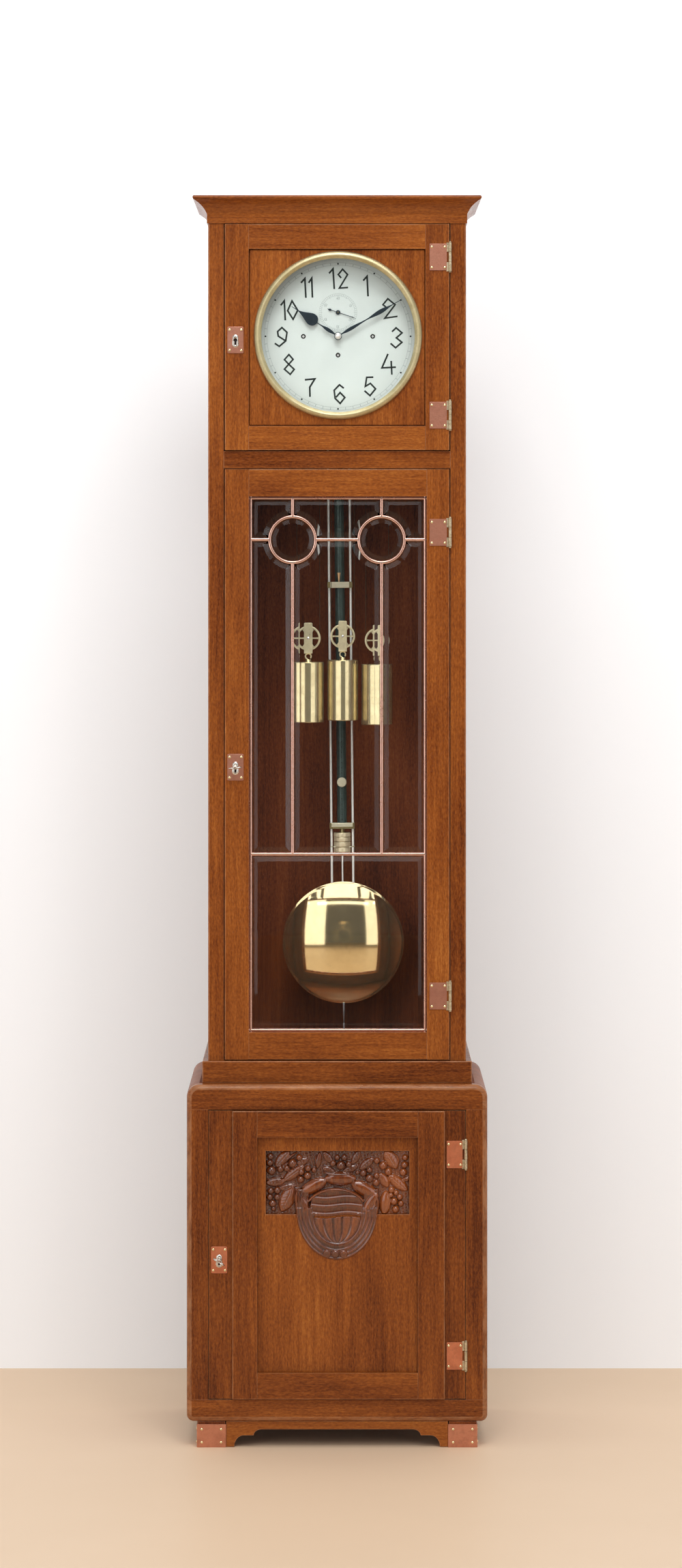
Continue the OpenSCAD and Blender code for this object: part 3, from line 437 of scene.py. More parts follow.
    def build(self, name, mats, body=None, replaces=(), slot=None, sharp=35, weighted=True):
        me = bpy.data.meshes.new(name)
        me.from_pydata(self.v, [], [f[0] for f in self.f])
        for m in mats:
            me.materials.append(m)
        me.polygons.foreach_set("material_index", [f[1] for f in self.f])
        me.polygons.foreach_set("use_smooth", [True] * len(self.f))
        wc = []
        for idx, _, _, g, off, _ in self.f:
            for k in idx:
                x, y, z = self.v[k]
                a, b, c = (z, x, y) if g == "z" else (x, z, y) if g == "x" else (y, z, x)
                wc += (a + off[0], b + off[1], c + off[2])
        me.attributes.new("wc", "FLOAT_VECTOR", "CORNER").data.foreach_set("vector", wc)
        me.attributes.new("edge", "FLOAT", "FACE").data.foreach_set("value", [f[2] for f in self.f])
        me.attributes.new("shade", "FLOAT", "FACE").data.foreach_set("value", [f[5] for f in self.f])
        me.update()
        me.set_sharp_from_angle(angle=math.radians(sharp))
        o = bpy.data.objects.new(name, me)
        bpy.context.scene.collection.objects.link(o)
        if weighted:
            w = o.modifiers.new("wn", "WEIGHTED_NORMAL")
            w.mode = "FACE_AREA"; w.weight = 80; w.keep_sharp = True
        if replaces:
            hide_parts(*replaces)
        if body:
            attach(o, body)
        return o

def bevel_bm(bm, edges, r, seg):
    if r <= 0 or not edges:
        return
    bm.edges.ensure_lookup_table()
    lay = bm.faces.layers.int.get("edgeface") or bm.faces.layers.int.new("edgeface")
    res = bmesh.ops.bevel(bm, geom=edges, offset=r / 1000, offset_type="OFFSET", segments=seg, profile=0.5, affect="EDGES", clamp_overlap=True)
    for f in res["faces"]:
        f[lay] = 1

def arc(cx, cz, r, a0, a1, n=8):
    return [(cx + r * math.cos(math.radians(a0 + (a1 - a0) * i / n)), cz + r * math.sin(math.radians(a0 + (a1 - a0) * i / n))) for i in range(n + 1)]

def mirror_loop(loop):
    return [(-p, q) for p, q in reversed(loop)]

# ------------------------------------------------------------------ the case
SHARP = 0.6
def mm(co):
    return (co[0] * 1000, co[1] * 1000 + YO, co[2] * 1000)

def near(a, b, tol=0.06):
    return abs(a - b) < tol

def mid(e):
    return mm((e.verts[0].co + e.verts[1].co) / 2)

def is_sharp(e):
    return e.calc_face_angle(0) > SHARP

ROUND = 8.0          # rounding of the base's front outer edge

def front_round(keep):
    """Picks the front edges that lie on the outer outline."""
    def pick(e):
        m = mid(e)
        return is_sharp(e) and near(m[1], 0) and keep(m)
    return pick

# the base's boards take negative shade values: partly their own tone, partly painted shade that keeps the base darker
# than the trunk
base = MB()
base.prism([(-BW, 539.5)] + [(BW, 539.5)] + arc(BW - 20, 559, 20, 0, 90, 12) + arc(-(BW - 20), 559, 20, 90, 180, 12), "y", 0, FRAME_T,
           bevs=[(front_round(lambda m: m[2] > 539.8), ROUND, 7), (is_sharp, 0.35, 1)], grain="x", seed=1, shade=-0.05)
base.prism(arc(-(BW - 11), 52.5, 11, 180, 270, 10) + arc(BW - 11, 52.5, 11, 270, 360, 10) + [(BW, 76.9), (-BW, 76.9)], "y", 0, FRAME_T,
           bevs=[(front_round(lambda m: m[2] < 76.6), ROUND, 7), (is_sharp, 0.35, 1)], grain="x", seed=2, shade=-0.07)
for s in (-1, 1):
    lo, hi = sorted((s * (BSTILE_IN - 0.4), s * BW))
    base.prism([(lo, 76.9), (hi, 76.9), (hi, 539.5), (lo, 539.5)], "y", 0, FRAME_T,
               bevs=[(front_round(lambda m: near(m[0], s * BW)), ROUND, 7), (is_sharp, 0.35, 1)], grain="z", seed=3 + s, shade=-0.075)
base.build("base_front_boards", [M_WOOD], "case", ["base_front_frame"], "mahogany")

sides = MB()
for s in (-1, 1):
    loop = [(BW - 20, 41.5)] + arc(BW - 11, 52.5, 11, -90, 0, 10) + arc(BW - 19.5, 559.5, 19.5, 0, 90, 14) + [(BW - 20, 579)]
    if s < 0:
        loop = mirror_loop(loop)
    sides.prism(loop, "y", FRAME_T, 310, bevs=[(is_sharp, 0.5, 1)], grain="z", seed=10 + s, shade=-0.03)
sides.build("base_side_boards", [M_WOOD_SIDE], "case", ["base_side_panels"], "mahogany")

# the step's shade of -0.09 is partly its own tone, partly painted shade
step = MB()
step.board(-216, 216, 24, 310, 579, 614, bev=1.6, seg=3, grain="x", seed=20, shade=-0.09)
step.build("plinth_board", [M_WOOD], "case", ["plinth_step"], "mahogany")

trunk = MB()
for s in (-1, 1):
    lo, hi = sorted((s * STILE_IN, s * TW))
    trunk.prism([(lo, 614), (hi, 614), (hi, 1956.5), (lo, 1956.5)], "y", 34, 56,
                bevs=[(lambda e: is_sharp(e) and near(mid(e)[0], s * TW) and near(mid(e)[1], 34), 2.2, 4), (is_sharp, 0.5, 2)], grain="z", seed=30 + s, shade=-0.03)
trunk.board(-STILE_IN, STILE_IN, 34, 56, 1563.5, 1591.3, bev=0.7, grain="x", seed=33, shade=-0.06)
trunk.build("trunk_front_boards", [M_WOOD], "case", ["trunk_front_frame"], "mahogany")

tsides = MB()
for s in (-1, 1):
    lo, hi = sorted((s * (TW - 20), s * TW))
    tsides.board(lo, hi, 56, 310, 614, 1956.5, bev=0.5, seg=1, grain="z", seed=40 + s, shade=-0.03)
tsides.build("trunk_side_boards", [M_WOOD_SIDE], "case", ["trunk_side_panels"], "mahogany")

# cornice: the moulding runs round three sides with mitred corners
COVE = [(0, 0), (0, 14.6), (0.5, 16.2), (1.4, 17.8), (3, 20.8), (5, 23.9), (7.5, 27), (10.2, 29.6), (12.8, 31.9),
        (15.5, 33.8), (18, 35.5), (20.4, 36.9), (21.3, 37.6), (21.9, 38.4), (22.3, 39.3), (22.4, 40), (22.35, 41), (22.1, 41.9), (21.5, 42.8), (20.7, 43.3), (19.6, 43.5)]
cor = MB()
def cornice_mesh():
    n = len(COVE)
    verts, faces, grains = [], [], []
    for o, z in COVE:
        w, f, zz = 208.8 + o, 32 - o, 1956.5 + z
        verts += [P(-w, 310, zz), P(-w, f, zz), P(w, f, zz), P(w, 310, zz)]
    for i in range(n - 1):
        a, b = 4 * i, 4 * i + 4
        for k, g in ((0, "y"), (1, "x"), (2, "y")):
            faces.append((a + k, a + k + 1, b + k + 1, b + k)); grains.append(g)
        faces.append((a + 3, a, b, b + 3)); grains.append("x")
    faces.append((3, 2, 1, 0)); grains.append("x")
    t = 4 * (n - 1)
    faces.append((t, t + 1, t + 2, t + 3)); grains.append("x")
    cor.add(verts, faces, grain=grains, seed=50, shade=0.0)
cornice_mesh()
cor.build("cornice_moulding", [M_WOOD], "case", ["cornice"], "mahogany", sharp=40)

# feet brackets and apron in one board along the front, one along each side, a plain rail behind
def bracket_pts():
    pts = [(13 + 15 * (1 - math.cos(math.radians(a))), 18.7 * math.sin(math.radians(a))) for a in range(0, 91, 9)]
    pts += [(44, 18.7)]
    pts += [(44 + 13 * (1 - math.cos(math.radians(a))), 18.7 + 9.7 * math.sin(math.radians(a))) for a in range(9, 91, 9)]
    return pts
BR = bracket_pts()
# the aprons' shade values, lighter in front and darker at the sides and back, are partly their own tone, partly painted
# light and shade
apron = MB()
F = 177.3
loop = [(-F, 0.3), (-F + 13, 0.3)] + [(-F + p[0], max(p[1], 0.3)) for p in BR] + [(F - p[0], max(p[1], 0.3)) for p in reversed(BR)] + [(F - 13, 0.3), (F, 0.3), (F, 41.5), (-F, 41.5)]
def dedupe(lp):
    out = []
    for p in lp:
        if not out or (abs(p[0] - out[-1][0]) > 0.02 or abs(p[1] - out[-1][1]) > 0.02):
            out.append(p)
    return out
apron.prism(dedupe(loop), "y", 5, 23, bevs=[(lambda e: is_sharp(e) and near(mid(e)[1], 5), 0.8, 2)], grain="x", seed=60, shade=0.04)
D0, D1 = 49.8, 263.2
loop = [(D0, 0.3), (D0 + 13, 0.3)] + [(D0 + p[0], max(p[1], 0.3)) for p in BR] + [(D1 - p[0], max(p[1], 0.3)) for p in reversed(BR)] + [(D1 - 13, 0.3), (D1, 0.3), (D1, 41.5), (D0, 41.5)]
for s in (-1, 1):
    lo, hi = sorted((s * (F + 26), s * (F + 45)))
    apron.prism(dedupe(loop), "x", lo, hi, bevs=[(lambda e: is_sharp(e) and near(abs(mid(e)[0]), F + 45), 0.8, 2)], grain="y", seed=61 + s, shade=-0.05)
apron.board(-F, F, 288, 306, 24, 41.5, bev=0.8, grain="x", seed=64, shade=-0.08)
apron.build("foot_bracket_boards", [M_WOOD], "case", ["foot_brackets"], "mahogany")

feet = MB()
for s in (-1, 1):
    for d in (3, 263.2):
        lo, hi = sorted((s * (F + 1.4), s * (F + 45.4)))
        feet.board(lo, hi, d + 1.4, d + 45.4, 1.4, 41.5, bev=0.8, grain="z", seed=70 + s + int(d), shade=-0.08)
feet.build("foot_blocks", [M_WOOD_SIDE], "case", ["feet"], "mahogany_inside")

def dome(mb, x, d, z, r, h, normal="front", mi=0, seg=20):
    prof = [(r * math.cos(math.radians(a)), -h * math.sin(math.radians(a))) for a in range(0, 90, 15)] + [(0, -h)]
    prof = [(0, 0.4)] + [(r * 0.98, 0.4)] + prof
    if normal == "front":
        mb.lathe(prof, (x, d, z), "y", seg, mi=mi)
    else:
        s = 1 if normal == "right" else -1
        mb.lathe([(a, -s * b) for a, b in prof], (x, d, z), "x", seg, mi=mi)

caps = MB()
for s in (-1, 1):
    lo, hi = sorted((s * F, s * (F + 46.8)))
    for d in (3, 263.2):
        caps.board(lo, hi, d, d + 46.8, 0, 37, bev=0.9, seg=2)
        for u in (8, 38.8):
            for v in (8, 29):
                if d == 3:
                    dome(caps, s * (F + u), d, v, 2.2, 1.3, "front", mi=1)
                dome(caps, s * (F + 46.8), d + u, v, 2.2, 1.3, "right" if s > 0 else "left", mi=1)
caps.build("foot_shoes", [M_COPPER_SHOE, M_PIN], "case", ["foot_caps"], "copper")

# ------------------------------------------------------------------ doors: wood
def door_boards(name, z0, z1, iz0, iz1, ixl, ixr, body, nodes, seed):
    mb = MB()
    for s in (-1, 1):
        lo, hi = (-DOOR_X, ixl) if s < 0 else (ixr, DOOR_X)
        mb.prism([(lo, z0), (hi, z0), (hi, z1), (lo, z1)], "y", 30, 54,
                 bevs=[(lambda e: is_sharp(e) and near(mid(e)[0], s * DOOR_X) and near(mid(e)[1], 30), 1.3, 3), (is_sharp, 0.45, 2)], grain="z", seed=seed + s, shade=0.03)
    for k, (a, b) in enumerate(((iz1, z1), (z0, iz0))):
        mb.prism([(ixl, a), (ixr, a), (ixr, b), (ixl, b)], "y", 30, 54,
                 bevs=[(lambda e: is_sharp(e) and near(mid(e)[1], 30) and (near(mid(e)[2], z0) or near(mid(e)[2], z1)), 1.3, 3), (is_sharp, 0.45, 2)], grain="x", seed=seed + 4 + k, shade=0.03)
    return mb.build(name, [M_WOOD], body, nodes, "mahogany")

door_boards("dial_door_boards", 1592.7, 1955.3, 1631.5, 1915.5, -141.8, 141.8, "dial_door", ["dial_door_frame"], 80)
door_boards("trunk_door_boards", 615.5, 1562.2, 659.4, 1518.7, -141.5, 144.0, "trunk_door", ["trunk_door_frame"], 90)

panel = MB()
def dial_panel():
    """A square panel with a round hole; its raised field stands free of the frame by a narrow groove."""
    n = 160
    cx, cz = DIAL_X, (1631.5 + 1915.5) / 2
    def square(h, k):
        pts = []
        for i in range(n):
            a = 2 * math.pi * (i + 0.0) / n
            c, s = math.cos(a), math.sin(a)
            t = min(1 / max(abs(c), 1e-9), 1 / max(abs(s), 1e-9))
            pts.append((c * t * (h), cz + s * t * (142.0 - (141.8 - h))))
        return pts
    hole = [(DIAL_X + 128 * math.cos(2 * math.pi * i / n), DIAL_Z + 128 * math.sin(2 * math.pi * i / n)) for i in range(n)]
    loops = [(hole, 46), (hole, 33.5), (square(140.0, 0), 33.5), (square(139.6, 0), 33.5), (square(140.0, 0), 33.9), (square(140.0, 0), 37.5), (square(141.7, 0), 37.5), (square(141.7, 0), 46)]
    loops = [loops[0], loops[1], loops[3], loops[4], loops[5], loops[6], loops[7]]
    verts = [P(p[0], d, p[1]) for lp, d in loops for p in lp]
    faces = []
    m = len(loops)
    for j in range(m):
        a, b = j * n, ((j + 1) % m) * n
        for i in range(n):
            k = (i + 1) % n
            faces.append((a + i, a + k, b + k, b + i))
    bm = bmesh.new()
    vs = [bm.verts.new(v) for v in verts]
    for f in faces:
        bm.faces.new([vs[i] for i in f])
    bmesh.ops.recalc_face_normals(bm, faces=bm.faces)
    panel.add_bm(bm, grain="z", seed=101, shade=0.0)
dial_panel()
panel.build("dial_door_field", [M_WOOD], "dial_door", ["dial_door_panel"], "mahogany", sharp=30, weighted=False)

# the base door's boards are set darker than the trunk's, the outer strips darkest: partly their own tone, partly
# painted shade
bd = MB()
Z0, Z1 = 78.3, 538.1
def strip_loop(s):
    return [(-204.4, 0), (-167.2, 0), (-167.2, -7), (-127.4, -7), (-127.4, 22), (-204.4, 22)] if s < 0 else [(204.4, 0), (204.4, 22), (129, 22), (129, -7), (171.8, -7), (171.8, 0)]
for s in (-1, 1):
    outer = -167.2 if s < 0 else 171.8
    inner = -127.4 if s < 0 else 129
    bd.board(*sorted((outer, s * 204.8)), 0, 22, Z0, Z1, bev=0.5, grain="z", seed=110 + s, shade=-0.15)
    lo, hi = sorted((outer, inner))
    bd.prism([(lo, Z0), (hi, Z0), (hi, Z1), (lo, Z1)], "y", -7, 22,
             bevs=[(lambda e: is_sharp(e) and near(mid(e)[1], -7) and (near(mid(e)[0], outer) or near(mid(e)[2], Z0) or near(mid(e)[2], Z1)), 1.6, 3), (is_sharp, 0.5, 2)], grain="z", seed=115 + s, shade=-0.10)
for k, (a, b, t) in enumerate(((495.9, Z1, Z1), (Z0, 120.5, Z0))):
    bd.prism([(-127.4, a), (129, a), (129, b), (-127.4, b)], "y", -7, 22,
             bevs=[(lambda e: is_sharp(e) and near(mid(e)[1], -7) and near(mid(e)[2], t), 1.6, 3), (is_sharp, 0.5, 2)], grain="x", seed=120 + k, shade=-0.08 - 0.02 * k)
bd.build("base_door_boards", [M_WOOD], "base_door", ["base_door_frame"], "mahogany")

def grid_panel(mb, x0, x1, z0, z1, hx0, hx1, hz0, hz1, df, dr, db, **kw):
    """A panel, front at df, with a sunk rectangle whose floor is at dr, and its back at db."""
    X = [x0, hx0, hx1, x1]; Z = [z0, hz0, hz1, z1]
    bm = bmesh.new()
    f = [[bm.verts.new(P(x, df, z)) for z in Z] for x in X]
    b = [[bm.verts.new(P(x, db, z)) for z in Z] for x in X]
    r = {}
    for i in (1, 2):
        for j in (1, 2):
            r[(i, j)] = bm.verts.new(P(X[i], dr, Z[j]))
    for i in range(3):
        for j in range(3):
            if (i, j) != (1, 1):
                bm.faces.new((f[i][j], f[i + 1][j], f[i + 1][j + 1], f[i][j + 1]))
            bm.faces.new((b[i][j], b[i][j + 1], b[i + 1][j + 1], b[i + 1][j]))
    bm.faces.new((r[(1, 1)], r[(2, 1)], r[(2, 2)], r[(1, 2)]))
    ring = [(1, 1), (2, 1), (2, 2), (1, 2)]
    for k in range(4):
        p, q = ring[k], ring[(k + 1) % 4]
        bm.faces.new((f[p[0]][p[1]], f[q[0]][q[1]], r[q], r[p]))
    for i in range(3):
        bm.faces.new((f[i][0], b[i][0], b[i + 1][0], f[i + 1][0]))
        bm.faces.new((f[i][3], f[i + 1][3], b[i + 1][3], b[i][3]))
        bm.faces.new((f[0][i], f[0][i + 1], b[0][i + 1], b[0][i]))
        bm.faces.new((f[3][i], b[3][i], b[3][i + 1], f[3][i + 1]))
    bmesh.ops.recalc_face_normals(bm, faces=bm.faces)
    rim = [e for e in bm.edges if near(mid(e)[1], df, 0.02) and hx0 - 0.1 < mid(e)[0] < hx1 + 0.1 and hz0 - 0.1 < mid(e)[2] < hz1 + 0.1 and is_sharp(e)]
    bevel_bm(bm, rim, 0.7, 2)
    mb.add_bm(bm, **kw)

bp = MB()
grid_panel(bp, -127.3, 128.9, 120.6, 495.8, -114, 115.4, 372, 473, 3, 9, 17, grain="z", seed=130, shade=-0.01)
bp.build("base_door_field", [M_WOOD], "base_door", ["base_door_panel"], "mahogany")

# ------------------------------------------------------------------ further finishes
M_FIT = metal_material("brass_cream", (0.86, 0.76, 0.54), (0.78, 0.67, 0.45), 0.34, 0.12, (0.48, 0.38, 0.22), 0.3, brush=(60, 60, 1400), metallic=0.7)
M_ROD = metal_material("steel_rod", (0.84, 0.83, 0.79), (0.78, 0.77, 0.73), 0.42, 0.05, (0.50, 0.48, 0.44), 0.18, metallic=0.45, brush=(500, 500, 14), bump_s=0.02)
# M_OLIVE and M_PAD are one brass in two tones for the pendulum's bars: the dark olive is painted shade, the pale pad a
# painted highlight
M_OLIVE = metal_material("brass_olive", (0.34, 0.28, 0.14), (0.26, 0.21, 0.10), 0.36, 0.14, (0.12, 0.10, 0.05), 0.5)
M_PAD = metal_material("brass_pad", (0.70, 0.65, 0.49), (0.60, 0.55, 0.40), 0.40, 0.12, (0.42, 0.36, 0.22), 0.3, brush=(1400, 60, 60), metallic=0.72)
M_CONE = metal_material("brass_cone", (0.86, 0.58, 0.32), (0.76, 0.48, 0.25), 0.34, 0.12, (0.46, 0.28, 0.14), 0.3, metallic=0.75)
M_CREAM = metal_material("brass_wheel", (0.80, 0.70, 0.46), (0.70, 0.60, 0.38), 0.36, 0.14, (0.42, 0.32, 0.18), 0.35)
M_WEIGHT = metal_material("brass_weight", (0.70, 0.585, 0.345), (0.60, 0.49, 0.275), 0.17, 0.05, (0.42, 0.33, 0.18), 0.2, brush=(330, 330, 5), bump_s=0.12, metallic=0.88)
M_BARREL = metal_material("brass_turned", (0.74, 0.60, 0.33), (0.64, 0.50, 0.26), 0.30, 0.12, (0.36, 0.26, 0.13), 0.35, brush=(40, 2600, 40))
M_GREY = metal_material("steel_grey", (0.46, 0.46, 0.47), (0.34, 0.34, 0.35), 0.36, 0.14, (0.18, 0.14, 0.11), 0.45)
M_PANE = glass_material("glass_bevelled", 0.012, 1.34)
M_CARVED = wood_material("mahogany_carved", ((0.052, 0.0105, 0.003), (0.135, 0.030, 0.006), (0.235, 0.056, 0.0095), (0.38, 0.105, 0.018)), rough=0.28, coat=1.0, gloss_var=0.06, grain=0.75, edge=0.2, spec=0.12, crisp=0.09, bump_s=0.06, lacquer=1.62)
LINES = []

# ------------------------------------------------------------------ metal fittings on the doors
def rotate_from(mb, start, cx, cz, ang):
    """Turns the points added since start about a line along the depth through (cx, cz) mm; ang as OpenSCAD's rotate([0, a, 0])."""
    c, s = math.cos(ang), math.sin(ang)
    X, Z = cx / 1000, cz / 1000
    for i in range(start, len(mb.v)):
        x, y, z = mb.v[i]
        x -= X; z -= Z
        mb.v[i] = (x * c + z * s + X, y, -x * s + z * c + Z)

HINGE_Z = [[1902.3, 1648.7], [1460.8, 717.8], [468.2, 146.8]]
AX = [(181.2, 27, 162.3, 28, 43, 30, 10.4), (181.2, 27, 162.3, 28, 43, 30, 10.4), (205.4, -3, 187.6, 25.6, 43.8, 0, 9.6)]

def knuckle(mb, x, d, z0, z1, r=2.5, **kw):
    """A rolled knuckle with eased ends and a faint waist where the sheet closes."""
    L = z1 - z0
    prof = [(1.3, 0), (r - 0.5, 0), (r - 0.12, 0.15), (r, 0.5)]
    n = 6
    for i in range(1, n):
        t = i / n
        prof.append((r - 0.05 * math.sin(math.pi * t * 3) ** 2, 0.5 + (L - 1.0) * t))
    prof += [(r, L - 0.5), (r - 0.12, L - 0.15), (r - 0.5, L), (1.3, L)]
    mb.lathe(prof, (x, d, z0), "z", 28, **kw)

def door_hinges(name, body, node_, k):
    px, pd, cx_, w, h, fd, pu = AX[k]
    mb = MB()
    for z in HINGE_Z[k]:
        mb.board(cx_ - w / 2, cx_ + w / 2, fd - 1.5, fd - 0.02, z - h / 2, z + h / 2, bev=0.55, seg=2, mi=0)
        for u in (-pu, pu):
            for v in (-16.5, 16.5):
                dome(mb, cx_ + u, fd - 1.5, z + v, 2.2, 1.3, "front", mi=1)
        for s in (-1, 1):
            knuckle(mb, px, pd, z + s * 15.65 - 7.35, z + s * 15.65 + 7.35, mi=2)
            mb.board(cx_ + w / 2 - 1, px - 1.2, fd - 1.45, fd - 0.1, z + s * 15.65 - 7.35, z + s * 15.65 + 7.35, bev=0.25, seg=1, mi=2)
    return mb.build(name, [M_COPPER_RED if k == 2 else M_COPPER, M_PIN, M_HINGE], body, [node_], "copper")

M_HINGE = metal_material("brass_hinge", (0.66, 0.56, 0.38), (0.48, 0.39, 0.24), 0.40, 0.16, (0.16, 0.115, 0.07), 0.9, bump_s=0.2, scale=3.2, spots=0.8, metallic=0.85)
door_hinges("dial_door_hinge_plates", "dial_door", "dial_door_hinges", 0)
door_hinges("trunk_door_hinge_plates", "trunk_door", "trunk_door_hinges", 1)
door_hinges("base_door_hinge_plates", "base_door", "base_door_hinges", 2)

leaves = MB()
for k in range(3):
    px, pd = AX[k][:2]
    for z in HINGE_Z[k]:
        knuckle(leaves, px, pd, z - 8, z + 8, mi=0)
        leaves.lathe([(0, -23), (1.25, -23), (1.25, 23), (0, 23)], (px, pd, z), "z", 16, mi=0)
        leaves.board(px - 0.1, px + 0.5, pd + 1.0, pd + 22, z - 8, z + 8, bev=0.1, seg=1, mi=0)
        for s in (-1, 1):
            prof = [(0, 23), (1.25, 23), (1.25, 23.5), (2.1, 23.7), (2.35, 24.0), (2.35, 24.3), (2.1, 24.7), (1.6, 25.0), (0.9, 25.15), (0, 25.18)]
            leaves.lathe([(r, s * t) for r, t in prof], (px, pd, z), "z", 20, mi=0)
leaves.build("hinge_leaves_and_pins", [M_HINGE], "case", ["case_hinge_leaves"], "brass")

# keyhole plates, rim locks, bolts and keys
def keyhole_loop(cx_, cz_, r=2.7, w=1.5, low=8.2, n=18):
    a0 = math.degrees(math.asin(w / r))
    pts = [(cx_ + r * math.cos(math.radians(a)), cz_ + r * math.sin(math.radians(a))) for a in [(-90 + a0) + (360 - 2 * a0) * i / n for i in range(n + 1)]]
    pts += [(cx_ - w, cz_ - low + 1.0), (cx_ - w * 0.6, cz_ - low + 0.25), (cx_, cz_ - low), (cx_ + w * 0.6, cz_ - low + 0.25), (cx_ + w, cz_ - low + 1.0)]
    return pts

def drop_loop(cx_, cz_, g=0.0, n=14):
    """The rim's outline: a drop, narrow above and full below."""
    top = [(cx_ + (4.6 + g) * math.cos(math.radians(a)), cz_ + 4 + (4.6 + g) * math.sin(math.radians(a))) for a in [180 * i / n for i in range(n + 1)]]
    bot = [(cx_ + (5.2 + g) * math.cos(math.radians(a)), cz_ - 7 + (5.2 + g) * math.sin(math.radians(a))) for a in [180 + 180 * i / n for i in range(n + 1)]]
    return top + bot

def ring_band(mb, sections, **kw):
    """Closed band through loops of equal length: sections lists (loop, depth), in order round the section."""
    n = len(sections[0][0])
    verts = [P(p[0], d, p[1]) for lp, d in sections for p in lp]
    m = len(sections)
    bm = bmesh.new()
    vs = [bm.verts.new(v) for v in verts]
    for j in range(m):
        a, b = j * n, ((j + 1) % m) * n
        for i in range(n):
            k = (i + 1) % n
            bm.faces.new((vs[a + i], vs[a + k], vs[b + k], vs[b + i]))
    bmesh.ops.recalc_face_normals(bm, faces=bm.faces)
    mb.add_bm(bm, **kw)

def by_angle(loop, cx_, cz_, n):
    """Points of a star-shaped loop at n equal angles from the top, counter-clockwise."""
    res = []
    m = len(loop)
    for i in range(n):
        a = math.pi / 2 + 2 * math.pi * i / n
        dx, dz = math.cos(a), math.sin(a)
        best = None
        for k in range(m):
            p, q = loop[k], loop[(k + 1) % m]
            ex, ez = q[0] - p[0], q[1] - p[1]
            den = dx * ez - dz * ex
            if abs(den) < 1e-12:
                continue
            t = ((p[0] - cx_) * ez - (p[1] - cz_) * ex) / den
            u = ((p[0] - cx_) * dz - (p[1] - cz_) * dx) / den
            if t > 0 and -1e-6 <= u <= 1 + 1e-6 and (best is None or t > best):
                best = t
        res.append((cx_ + dx * best, cz_ + dz * best))
    return res

def lock_plate(name, body, node_, x, z, fd, bd):
    mb = MB()
    n = 72
    cz_ = z - 2.0                       # all outlines are star-shaped seen from here
    hole = by_angle(keyhole_loop(x, z), x, cz_, n)
    # square about its own middle
    def rect(g):
        pts = []
        for i in range(n):
            a = math.pi / 2 + 2 * math.pi * i / n
            c, s = math.cos(a), math.sin(a)
            hx = (13 - g) / max(abs(c), 1e-9)
            hz = ((z + 21.5 - g) - cz_) / s if s > 1e-9 else ((z - 21.5 + g) - cz_) / s if s < -1e-9 else 1e9
            t = min(hx, hz)
            pts.append((x + c * t, cz_ + s * t))
        return pts
    ring_band(mb, [(hole, fd - 0.02), (hole, fd - 1.5), (rect(0.7), fd - 1.5), (rect(0.2), fd - 1.25), (rect(0.0), fd - 0.8), (rect(0.0), fd - 0.02)], mi=0)
    # raised rim, rounded, bright where it turns to the light
    def dl(g):
        return by_angle(drop_loop(x, z, g), x, cz_, n)
    hole2 = by_angle(keyhole_loop(x, z, 2.9, 1.7, 8.4), x, cz_, n)
    def mixl(a, b, t):
        return [(p[0] * (1 - t) + q[0] * t, p[1] * (1 - t) + q[1] * t) for p, q in zip(a, b)]
    A, B = hole2, dl(0)
    ring_band(mb, [(A, fd - 1.4), (A, fd - 2.4), (mixl(A, B, 0.22), fd - 2.9), (mixl(A, B, 0.5), fd - 3.0), (mixl(A, B, 0.8), fd - 2.6), (B, fd - 1.9), (B, fd - 1.4)], mi=2)
    for u in (-9.4, 9.4):
        for v in (-16.5, 16.5):
            dome(mb, x + u, fd - 1.5, z + v, 2.2, 1.3, "front", mi=1)
    # a dark sheet just behind the plate stands for the shade inside the keyhole: painted shade
    mb.prism(keyhole_loop(x, z, 3.4, 2.2, 9.0), "y", fd - 0.06, fd + 0.4, mi=3)
    # rim lock behind the door: a case with a sunk cap, four screws and the bolt's slot
    mb.board(x - 14, x + 20, bd + 0.02, bd + 2.7, z - 24, z + 26, bev=0.3, seg=2, mi=4)
    mb.board(x - 14, x + 20, bd + 2.7, bd + 9.3, z - 24, z + 9.7, bev=0.2, seg=2, mi=4)
    mb.board(x - 14, x + 20, bd + 2.7, bd + 9.3, z + 20.3, z + 26, bev=0.2, seg=2, mi=4)
    mb.board(x + 14.5, x + 20, bd + 2.7, bd + 9.3, z + 9.7, z + 20.3, bev=0.2, seg=2, mi=4)
    mb.board(x - 14, x + 20, bd + 9.3, bd + 13, z - 24, z + 26, bev=0.8, seg=2, mi=4)
    for sx, sz in ((-10, -20), (16, -20), (-10, 22), (16, 22)):
        mb.lathe([(0, -0.5), (0, 0.9), (1.2, 0.85), (2.0, 0.5), (2.2, 0), (2.2, -0.5)], (x + sx, bd + 13, z + sz), "y", 18, mi=1)
    return mb.build(name, [M_COPPER_RED if fd == 0 else M_COPPER, M_PIN, M_NICKEL, M_HOLE_SHADE, M_STEEL], body, [node_], "copper")

lock_plate("dial_door_keyhole_plate", "dial_door", "dial_door_lock", -163, 1769.3, 30, 54)
lock_plate("trunk_door_keyhole_plate", "trunk_door", "trunk_door_lock", -163, 1084.5, 30, 54)
lock_plate("base_door_keyhole_plate", "base_door", "base_door_lock", -188.2, 300, 0, 22)

